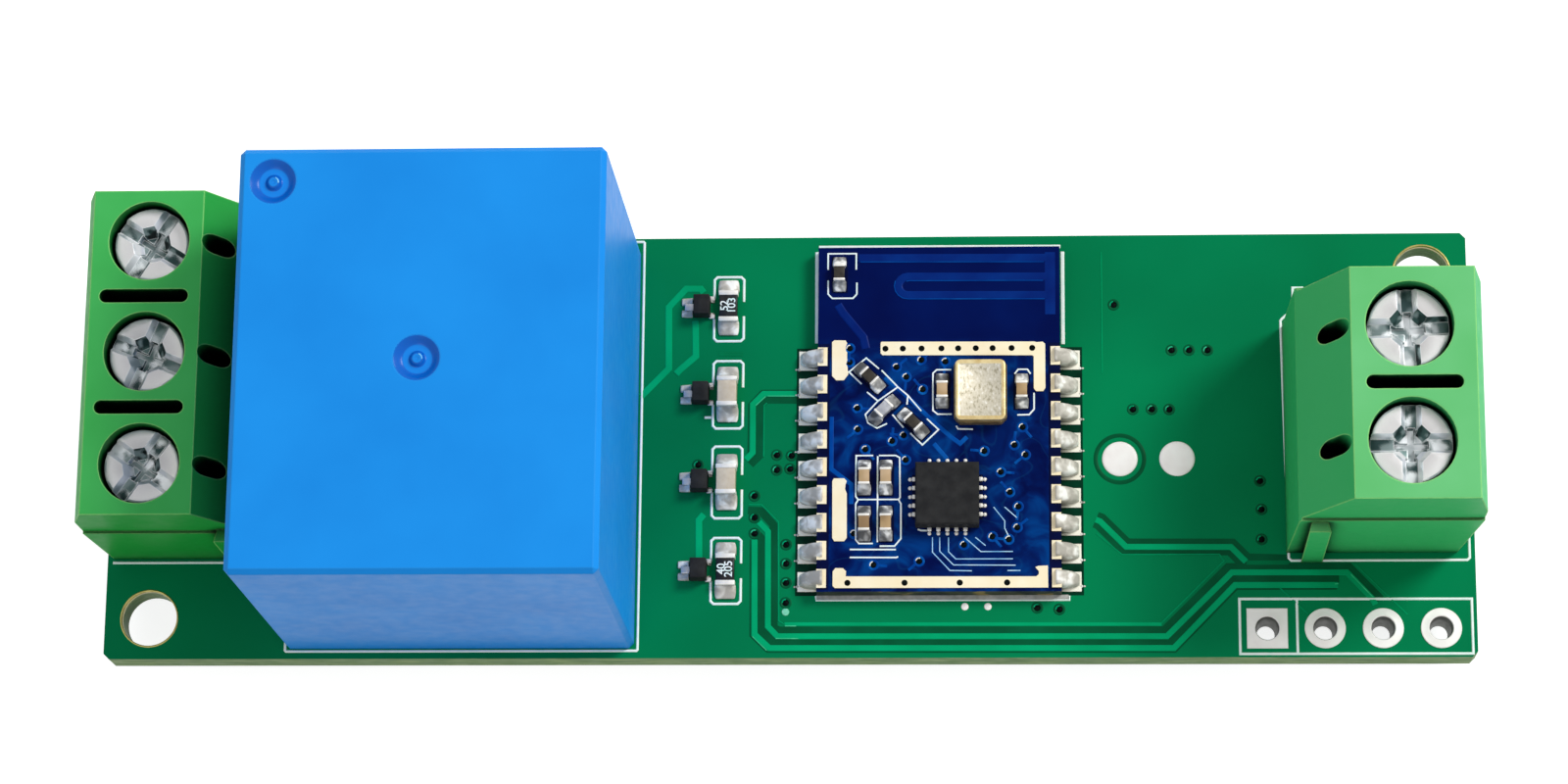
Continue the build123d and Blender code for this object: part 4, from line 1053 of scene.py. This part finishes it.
def chip_part(number, kind, wrap_l, wrap_up, digits):
    """One resistor or capacitor: body, wrapped ends and solder, each in its node's place."""
    body_name, ends_name = f"{kind}_{number}_body", f"{kind}_{number}_ends"
    low, high = low_of(body_name), high_of(body_name)
    ends_low, ends_high = low_of(ends_name), high_of(ends_name)
    cx, cy = middle_of(body_name)
    body_slot = "resistor_black" if kind == "resistor" else "ceramic_cream"
    half_w = (high.x - low.x) / 2
    made = block((low.x + 0.02, low.y - 0.02, board_top + 0.02), (high.x - 0.02, high.y + 0.02, high.z), 0.03)
    middle = piece_from(made, f"{kind}_{number}_middle", materials[body_slot], sharp=50)
    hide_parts(body_name)
    caps = bmesh.new()
    solder = bmesh.new()
    for side, turn, face, tip in ((1, 0, high.y, ends_high.y), (-1, 180, low.y, ends_low.y)):
        cap = block((-half_w - 0.015, 0, board_top), (half_w + 0.015, wrap_l, high.z + wrap_up), 0.03)
        joined(caps, cap, (cx, face, 0), turn)
        reach = abs(tip - face) - wrap_l
        fillet = mound(2 * half_w + 0.1, reach + 0.06, (high.z - board_top) * 0.86, 0.12)
        joined(solder, fillet, (cx, face + side * (wrap_l - 0.03), board_top), turn)
    wraps = piece_from(caps, f"{kind}_{number}_caps", bright_end, sharp=50)
    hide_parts(ends_name)
    piece_from(solder, f"{kind}_{number}_solder", materials["solder"])
    if digits:
        printed(f"{kind}_{number}_digits", digits, (cx, cy, high.z + 0.004), 0.5, 90)


def printed(name, text, place, size, turn):
    """Plain digits as a thin flat mesh."""
    curve = bpy.data.curves.new(name, "FONT")
    curve.body = text
    curve.size = size
    curve.space_line = 0.66
    curve.offset = 0.006
    curve.align_x = "CENTER"
    curve.align_y = "CENTER"
    curve.extrude = 0.006
    writing = in_scene(name, curve)
    mesh = worked_out(writing)
    bpy.data.objects.remove(writing)
    flat = bmesh.new()
    flat.from_mesh(mesh)
    bpy.data.meshes.remove(mesh)
    bmesh.ops.remove_doubles(flat, verts=flat.verts, dist=0.0005)
    bm = bmesh.new()
    joined(bm, flat, place, turn)
    piece_from(bm, name, ink, smooth=False)


def transistor(number):
    """A small black package, a wide lead in solder at its left and two spots at its right."""
    body_name, leads_name = f"transistor_{number}_body", f"transistor_{number}_leads"
    low, high = low_of(body_name), high_of(body_name)
    cx, cy = middle_of(body_name)
    made = block((low.x + 0.02, low.y + 0.06, low.z), (high.x - 0.02, high.y - 0.06, high.z), 0.035)
    for vert in made.verts:
        if vert.co.z > (low.z + high.z) / 2:
            vert.co.x = cx + (vert.co.x - cx) * 0.93
            vert.co.y = cy + (vert.co.y - cy) * 0.92
    package = piece_from(made, f"transistor_{number}_package", materials["package_black"],
                         sharp=50)
    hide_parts(body_name)
    leads_low, leads_high = low_of(leads_name), high_of(leads_name)
    bm = block((leads_low.x + 0.12, cy - 0.16, board_top + 0.05),
               (low.x + 0.1, cy + 0.16, board_top + 0.24), 0.03)
    for side in (-1, 1):
        joined(bm, block((high.x - 0.1, cy + side * 0.42 - 0.1, board_top + 0.03),
                         (leads_high.x, cy + side * 0.42 + 0.1, board_top + 0.16), 0.03))
    leads = piece_from(bm, f"transistor_{number}_bent_leads", materials["tinned_metal"],
                       sharp=50)
    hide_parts(leads_name)
    bm = bmesh.new()
    for side in (-1, 1):
        joined(bm, mound(0.36, 0.5, 0.26, 0.1), (low.x - 0.02, cy + side * 0.27, board_top), 90)
        joined(bm, mound(0.2, 0.16, 0.16, 0.05), (high.x, cy + side * 0.34, board_top), -90)
    piece_from(bm, f"transistor_{number}_solder", materials["solder"])


row_parts = [("resistor", 0.22, 0.02, "52\n103"), ("capacitor", 0.2, 0.03, None),
             ("capacitor", 0.2, 0.03, None), ("resistor", 0.22, 0.02, "40\n205")]
for number, (kind, wrap_l, wrap_up, digits) in enumerate(row_parts, 1):
    chip_part(number, kind, wrap_l, wrap_up, digits)
    transistor(number)


# Radio module: solder at its edges

pads_low, pads_high = low_of("radio_edge_pads"), high_of("radio_edge_pads")
edge_count = 9
edge_pad_w = 0.85
edge_pitch = (pads_high.y - pads_low.y - edge_pad_w) / (edge_count - 1)
edge_ys = [pads_low.y + edge_pad_w / 2 + i * edge_pitch for i in range(edge_count)]
solder_reach = 0.84
over_pad = 0.26
solder_h = land_top - board_top + 0.24
toe_h = 0.34
solder = bmesh.new()
specks = bmesh.new()
bases = bmesh.new()
for side, turn, edge_x in ((-1, 180, radio_low.x), (1, 0, radio_high.x)):
    for i, y in enumerate(edge_ys):
        made = mound(edge_pad_w - 0.04, solder_reach + over_pad - 0.05, solder_h, toe_h, sag=0.8, cuts=8,
                     taper=0.42)
        joined(solder, made, (edge_x - side * over_pad, y + 0.04, board_top), -90 * side)
        shift = 0.3 + 0.09 * ((i * 7) % 3 - 1)
        for step, size in ((0.04, 0.08), (0.17, 0.05)):
            speck = bmesh.new()
            bmesh.ops.create_icosphere(speck, subdivisions=2, radius=size)
            bmesh.ops.scale(speck, vec=(1, 0.9, 0.9), verts=speck.verts)
            joined(specks, speck, (edge_x + side * (solder_reach + step), y - shift, board_top))
        base = block((0, -edge_pad_w / 2 - 0.03, board_top - sunk),
                     (solder_reach + 0.04, edge_pad_w / 2 + 0.01, board_top + 0.05), 0.012)
        joined(bases, base, (edge_x, y, 0), turn)
piece_from(bases, "edge_solder_bases", bright_land, smooth=False)
mounds = piece_from(solder, "edge_solder_mounds", materials["solder"])
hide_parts("radio_solder")
piece_from(specks, "solder_specks", materials["solder"])

shade_y0, shade_y1 = edge_ys[0] - 0.62, edge_ys[-1] + 0.6
outside = [[(x, shade_y0), (x, shade_y1)] for x in (radio_low.x - 0.46, radio_high.x + 0.46)]
inside = [[(x, shade_y0 + 0.1), (x, shade_y1)] for x in (radio_low.x + 0.27, radio_high.x - 0.27)]
strips("shade_between_mounds", outside, 1.05, 0.006, board_top, mask_in_shade, shoulder=0.002)
strips("radio_edge_shade", inside, 0.54, 0.004, radio_top, radio_shade, shoulder=0.002)


# Radio module: lands of the shield frame, with their holes

lands = [
    [(4.27, 4.56), (11.12, 4.53), (11.22, 4.50), (11.48, 4.52), (11.60, 4.42), (11.60, 2.38), (11.50, 2.23),
     (11.18, 2.23), (11.08, 2.36), (11.08, 3.84), (11.02, 3.89), (4.32, 3.93), (4.23, 4.02), (4.23, 4.50)],
    [(2.05, 4.56), (2.16, 4.64), (2.66, 4.63), (2.73, 4.50), (2.70, 4.42), (2.66, 4.30), (2.68, 4.14),
     (2.73, 4.08), (2.73, 3.74), (2.68, 3.66), (2.69, 3.52), (2.74, 3.44), (2.79, 3.05), (2.59, 2.78),
     (2.25, 2.78), (2.06, 2.98)],
    [(2.10, -1.85), (2.17, -1.73), (2.64, -1.73), (2.75, -1.86), (2.69, -2.02), (2.67, -2.22), (2.75, -2.42),
     (2.76, -4.45), (2.64, -4.60), (2.20, -4.60), (2.11, -4.45)],
    [(2.14, -6.62), (2.14, -5.97), (2.26, -5.81), (2.60, -5.82), (2.74, -5.96), (2.72, -6.19), (11.14, -6.21),
     (11.25, -6.12), (11.26, -5.98), (11.10, -5.80), (11.22, -5.74), (11.66, -5.72), (11.67, -6.72),
     (2.24, -6.72)],
]
land_up = land_top - radio_top
top_row_y = 4.23
low_row_y = -6.49
land_holes = [(x, top_row_y) for x in (4.45, 5.23, 6.07, 6.96, 7.71, 8.50, 9.25, 10.10, 11.02)]
land_holes += [(x, low_row_y) for x in (2.80, 5.33, 7.77, 9.86)]
shield = plates("shield_lands", lands, land_up, radio_top, materials["gold_plating"])
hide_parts("radio_shield_pads")
# Painted shade: near black discs stand for the holes in the lands.
spots("shield_land_holes", land_holes, 0.14, land_top, 0.004, hole_shade)


# Radio module: the antenna's bands, thin tracks and ink

band_w = 0.37
side_band_x = 11.84
bend_x, bend_y = 5.45, 7.165


def half_turn(x, radius, steps):
    """Points of the antenna's bend, from its upper end round the left to its lower one."""
    ways = [pi * i / steps for i in range(steps + 1)]
    return [(x - radius * sin(way), bend_y + radius * cos(way)) for way in ways]


antenna = [[(3.24, 8.48), (11.70, 8.44)],
           [(11.70, 7.56)] + half_turn(bend_x, 0.43, 8) + [(11.70, 6.70)],
           [(2.31, 6.30), (2.55, 5.90), (3.46, 4.78), (3.58, 4.25)]]
strips("antenna_bands", antenna, band_w, 0.02, radio_top, radio_copper, shoulder=0.05)
# Painted highlights: thin lighter lines along the front side of each band.
inner = half_turn(bend_x + 0.05, 0.24, 6)
outer = half_turn(bend_x, 0.61, 8)
band_highlights = [[(3.30, 8.30), (11.56, 8.25)],
              [(11.52, 7.38)] + inner[:2],
              outer[3:] + [(11.59, 6.52)]]
side_band = [(side_band_x, 8.70), (side_band_x, 5.80)]
strips("antenna_side_band", [side_band], 0.46, 0.008, radio_top, radio_copper, shoulder=0.2)
strips("antenna_band_highlights", band_highlights, 0.05, 0.026, radio_top, copper_and_highlight_line, shoulder=0.01)

fan = [[(6.56, -4.43), (6.56, -5.10), (7.33, -5.93), (8.30, -5.95)], [(9.88, -5.94), (10.45, -5.94)],
       [(6.88, -4.43), (6.88, -5.06), (7.49, -5.68), (10.24, -5.70)],
       [(7.27, -4.43), (7.27, -5.08), (7.59, -5.41), (10.12, -5.41)],
       [(7.98, -4.43), (8.70, -5.08), (10.12, -5.08)],
       [(8.46, -4.43), (8.91, -4.81)],
       [(9.27, -3.06), (9.76, -3.69), (9.76, -4.02), (9.94, -4.40)],
       [(9.76, -3.06), (10.30, -3.55)]]
strips("radio_thin_tracks", fan, 0.05, 0.016, radio_top, radio_line, shoulder=0.01)
stubs = []
for i, (x, y) in enumerate(radio_vias):
    way = radians(40 + 45 * (i * 5 % 8))
    stubs.append([(x + 0.24 * cos(way), y + 0.24 * sin(way)), (x + 0.62 * cos(way), y + 0.62 * sin(way))])
strips("radio_via_stubs", stubs, 0.12, 0.008, radio_top, radio_halo, shoulder=0.03)
feeds = [[(4.44, 2.91), (5.20, 2.25), (6.60, 0.85), (7.45, 0.10), (7.79, -0.15), (8.10, 0.15)],
         [(6.62, -0.15), (7.20, -0.85)], [(2.05, 1.10), (2.05, -1.30), (2.95, -2.0), (2.95, -2.9)]]
strips("radio_feed_tracks", feeds, 0.2, 0.014, radio_top, copper_and_highlight_line, shoulder=0.03)

radio_ink = [
    [(1.85, 7.94), (1.85, 8.69), (3.12, 8.69), (3.12, 7.94)],
    [(3.15, 7.33), (3.15, 6.79), (2.98, 6.60), (2.05, 6.60), (1.86, 6.80), (1.86, 7.44)],
    [(7.40, 3.25), (6.75, 3.25), (6.58, 3.09), (6.58, 1.37), (6.79, 1.20), (7.42, 1.20)],
    [(10.23, 3.04), (10.39, 3.25), (10.80, 3.25), (10.94, 3.04)],
    [(11.09, 2.16), (11.09, 1.41), (10.87, 1.16), (10.34, 1.15)],
    [(3.39, 2.61), (2.82, 3.17), (3.59, 3.81), (4.16, 3.31)],
    [(4.28, 3.24), (5.01, 2.46), (4.12, 1.82), (3.63, 2.24)],
    [(4.12, 1.82), (3.56, 1.20), (3.68, 0.82), (4.08, 0.57), (4.53, 0.78)],
    [(5.01, 2.46), (5.46, 2.07), (5.42, 1.65)],
    [(5.46, 2.07), (6.06, 1.35)],
    [(4.77, 1.19), (5.27, 0.59)],
    [(5.58, 0.33), (6.11, -0.21), (6.83, 0.49), (6.31, 0.99)],
    [(3.92, -0.69), (3.16, -0.69), (3.15, -2.56), (3.25, -2.70), (5.06, -2.70), (5.12, -2.60), (5.10, -0.79),
     (4.92, -0.69), (4.18, -0.69)],
    [(3.25, -2.72), (3.15, -2.89), (3.16, -4.52), (3.30, -4.70), (3.92, -4.70)],
    [(5.06, -2.72), (5.16, -2.90), (5.16, -4.48), (4.88, -4.82), (4.22, -4.82)],
    [(4.12, -0.72), (4.12, -4.64)],
    [(5.91, -4.06), (6.05, -4.11), (6.32, -4.12)],
    [(2.90, -4.97), (4.94, -4.98)],
    [(2.90, -5.33), (4.96, -5.34), (5.04, -5.30)],
    [(7.62, 0.66), (7.70, 0.52), (8.36, 0.50)],
]
strips("radio_ink", radio_ink, fine_ink_w, 0.02, radio_top, ink, shoulder=0.01)


# Radio module: crystal lid and small parts

def crystal_lid():
    """A plated lid with a raised rim round a speckled plate."""
    low, high = low_of("crystal_lid"), high_of("crystal_lid")
    lid_corner, rim_w, rim_slope, rim_up = 0.26, 0.1, 0.04, 0.03
    bm = bmesh.new()
    corners = [(low.x, low.y), (high.x, low.y), (high.x, high.y), (low.x, high.y)]
    face = bm.faces.new([bm.verts.new((x, y, low.z)) for x, y in corners])
    bevelled(bm, list(face.verts), lid_corner, affect="VERTICES", segments=5)
    bm.faces.ensure_lookup_table()
    made = bmesh.ops.extrude_face_region(bm, geom=[bm.faces[0]])["geom"]
    bmesh.ops.translate(bm, vec=(0, 0, high.z - low.z), verts=only(BMVert, made))
    bevelled(bm, list(only(BMFace, made)[0].edges), 0.06, segments=3)
    top = max(bm.faces, key=lambda f: f.calc_center_median().z * 1000 + f.calc_area())
    bmesh.ops.inset_region(bm, faces=[top], thickness=rim_w, depth=0)
    bmesh.ops.inset_region(bm, faces=[top], thickness=rim_slope, depth=-rim_up)
    top.material_index = 1
    bmesh.ops.recalc_face_normals(bm, faces=bm.faces)
    lid = piece_from(bm, "crystal_lid_detailed", materials["lid_metal"], sharp=40)
    lid.data.materials.append(speckled_plate())
    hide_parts("crystal_lid")


crystal_lid()

# Small parts: place from the module's middle, the way they lie and the tone of the body
tan, dark, pale = 0, 1, 2
radio_x, radio_y = middle_of("radio_board")
small_parts = [(-4.47, 6.65, 90, dark), (0.15, 1.2, 90, tan), (3.7, 1.18, 90, tan), (-3.1, 1.83, -45, dark),
               (-2.45, 0.33, 45, pale), (-1.14, -0.29, -45, dark), (-3.32, -2.76, 90, tan),
               (-2.36, -2.76, 90, tan), (-3.32, -4.86, 90, tan), (-2.36, -4.86, 90, tan)]
part_w = 0.47
part_l = 0.56
part_h = high_of("radio_small_bodies").z - radio_top
cap_l = 0.1
cap_proud = 0.02
foot_l = 0.44
shade_l, shade_w = 1.72, 0.74
bodies = bmesh.new()
caps = bmesh.new()
feet = bmesh.new()
shades = bmesh.new()
for x, y, turn, tone in small_parts:
    place = (radio_x + x, radio_y + y, 0)
    half_l, half_w = part_l / 2, part_w / 2
    middle = block((-half_l, -half_w, radio_top + 0.02), (half_l, half_w, radio_top + part_h), 0.02)
    for face in middle.faces:
        face.material_index = tone
    joined(bodies, middle, place, turn)
    shade = block((-shade_l / 2, -shade_w / 2, radio_top - sunk),
                  (shade_l / 2, shade_w / 2, radio_top + 0.008), 0.003)
    joined(shades, shade, place, turn)
    for half in (0, 180):
        cap = block((half_l - 0.01, -half_w - cap_proud, radio_top),
                    (half_l + cap_l, half_w + cap_proud, radio_top + part_h + cap_proud), 0.02)
        joined(caps, cap, place, turn + half)
        foot = mound(part_w + 0.14, foot_l, part_h * 0.8, 0.12, sag=1.2, cuts=7)
        bmesh.ops.translate(foot, vec=(0, half_l + cap_l - 0.02, radio_top), verts=foot.verts)
        joined(feet, foot, place, turn + half - 90)
middles = piece_from(bodies, "small_part_middles", materials["ceramic_tan"], sharp=50)
middles.data.materials.append(dark_ferrite)
middles.data.materials.append(pale_ferrite)
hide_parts("radio_small_bodies")
ends = piece_from(caps, "small_part_caps", bright_end, sharp=50)
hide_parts("radio_small_ends")
piece_from(feet, "small_part_solder", foot_solder)
piece_from(shades, "small_part_shades", radio_shade, smooth=False)


# Chip leads: a short foot and a bead of solder each, on a strip of painted shade
chip_low, chip_high = low_of("radio_chip"), high_of("radio_chip")
leads_low = low_of("radio_chip_leads")
lead_count = 5
lead_pitch = 0.4
lead_w = 0.19
lead_reach = chip_low.x - leads_low.x
lead_foot = 0.16
lead_h = 0.13
bead_r = 0.095
lead_shade_half = 1.02
chip_place = (*middle_of("radio_chip"), 0)
chip_half = (chip_high.x - chip_low.x) / 2
leads = bmesh.new()
lead_shades = bmesh.new()
for turn in (0, 90, 180, 270):
    lead_shade = block((-lead_shade_half, chip_half - 0.05, radio_top - sunk),
                   (lead_shade_half, chip_half + lead_foot, radio_top + 0.006), 0.002)
    joined(lead_shades, lead_shade, chip_place, turn)
    for i in range(lead_count):
        x = (i - (lead_count - 1) / 2) * lead_pitch
        foot = block((x - lead_w / 2, chip_half - 0.02, radio_top),
                     (x + lead_w / 2, chip_half + lead_foot, radio_top + lead_h), 0.03)
        joined(leads, foot, chip_place, turn)
        bead = bmesh.new()
        bmesh.ops.create_uvsphere(bead, u_segments=10, v_segments=6, radius=bead_r)
        bmesh.ops.scale(bead, vec=(1, 1, 0.6), verts=bead.verts)
        bmesh.ops.translate(bead, vec=(x, chip_half + lead_reach - 0.1, radio_top + 0.02), verts=bead.verts)
        joined(leads, bead, chip_place, turn)
soldered_leads = piece_from(leads, "chip_leads_detailed", bright_end, sharp=50)
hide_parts("radio_chip_leads")
piece_from(lead_shades, "chip_lead_shade", radio_shade, smooth=False)


# Pale floor, soft light and the camera

def seen_directly(tree):
    """1 for camera, mirror and glass rays, 0 for the rays that light the object."""
    path = tree.nodes.new("ShaderNodeLightPath")
    seen = path.outputs["Is Camera Ray"]
    for kind in ("Is Glossy Ray", "Is Transmission Ray"):
        either = tree.nodes.new("ShaderNodeMath")
        either.operation = "MAXIMUM"
        tree.links.new(seen, either.inputs[0])
        tree.links.new(path.outputs[kind], either.inputs[1])
        seen = either.outputs["Value"]
    return seen


floor_tone = 0.55
floor_glow = 0.8
world_light = 0.52
world_seen = 0.95


def stage():
    bpy.ops.mesh.primitive_plane_add(size=4.0, location=(0, 0, 0))
    floor = bpy.context.object
    floor.name = "floor"
    finish = Finish("pale_floor", roughness=0.9, specular=0.05)
    finish.shader.inputs["Base Color"].default_value = (floor_tone, floor_tone, floor_tone, 1)
    finish.shader.inputs["Emission Color"].default_value = (1, 1, 1, 1)
    glow = finish.add("MapRange")
    glow.inputs["To Min"].default_value = 0.0
    glow.inputs["To Max"].default_value = floor_glow
    finish.link(seen_directly(finish.tree), glow.inputs["Value"])
    finish.link(glow.outputs["Result"], finish.shader.inputs["Emission Strength"])
    floor.data.materials.append(finish.material)


def surroundings():
    world = bpy.data.worlds.new("studio")
    bpy.context.scene.world = world
    world.use_nodes = True
    tree = world.node_tree
    background = tree.nodes["Background"]
    background.inputs["Color"].default_value = (1, 1, 1, 1)
    level = tree.nodes.new("ShaderNodeMapRange")
    level.inputs["To Min"].default_value = world_light
    level.inputs["To Max"].default_value = world_seen
    tree.links.new(seen_directly(tree), level.inputs["Value"])
    tree.links.new(level.outputs["Result"], background.inputs["Strength"])


def soft_lamp(name, place, size, watts):
    """A round lamp that points at the middle of the board."""
    lamp = bpy.data.lights.new(name, "AREA")
    lamp.shape = "DISK"
    lamp.size = size
    lamp.energy = watts
    holder = in_scene(name, lamp)
    holder.location = place
    holder.rotation_euler = (Vector() - Vector(place)).to_track_quat("-Z", "Y").to_euler()


def photograph():
    camera = bpy.data.cameras.new("camera")
    camera.sensor_width = sensor_width
    camera.lens = camera_focus_px / picture_width_px * sensor_width
    camera.clip_start = 0.01
    camera.clip_end = 20
    holder = in_scene("camera", camera)
    holder.location = Vector(camera_place) * MM
    holder.rotation_euler = [radians(angle) for angle in camera_turn]
    bpy.context.scene.camera = holder


stage()
surroundings()
soft_lamp("key_light", (0.38, 0.24, 0.42), 0.2, 2.5)
soft_lamp("fill_light", (-0.2, -0.3, 0.45), 0.3, 0.3)
photograph()
bpy.context.scene.view_settings.view_transform = "Standard"
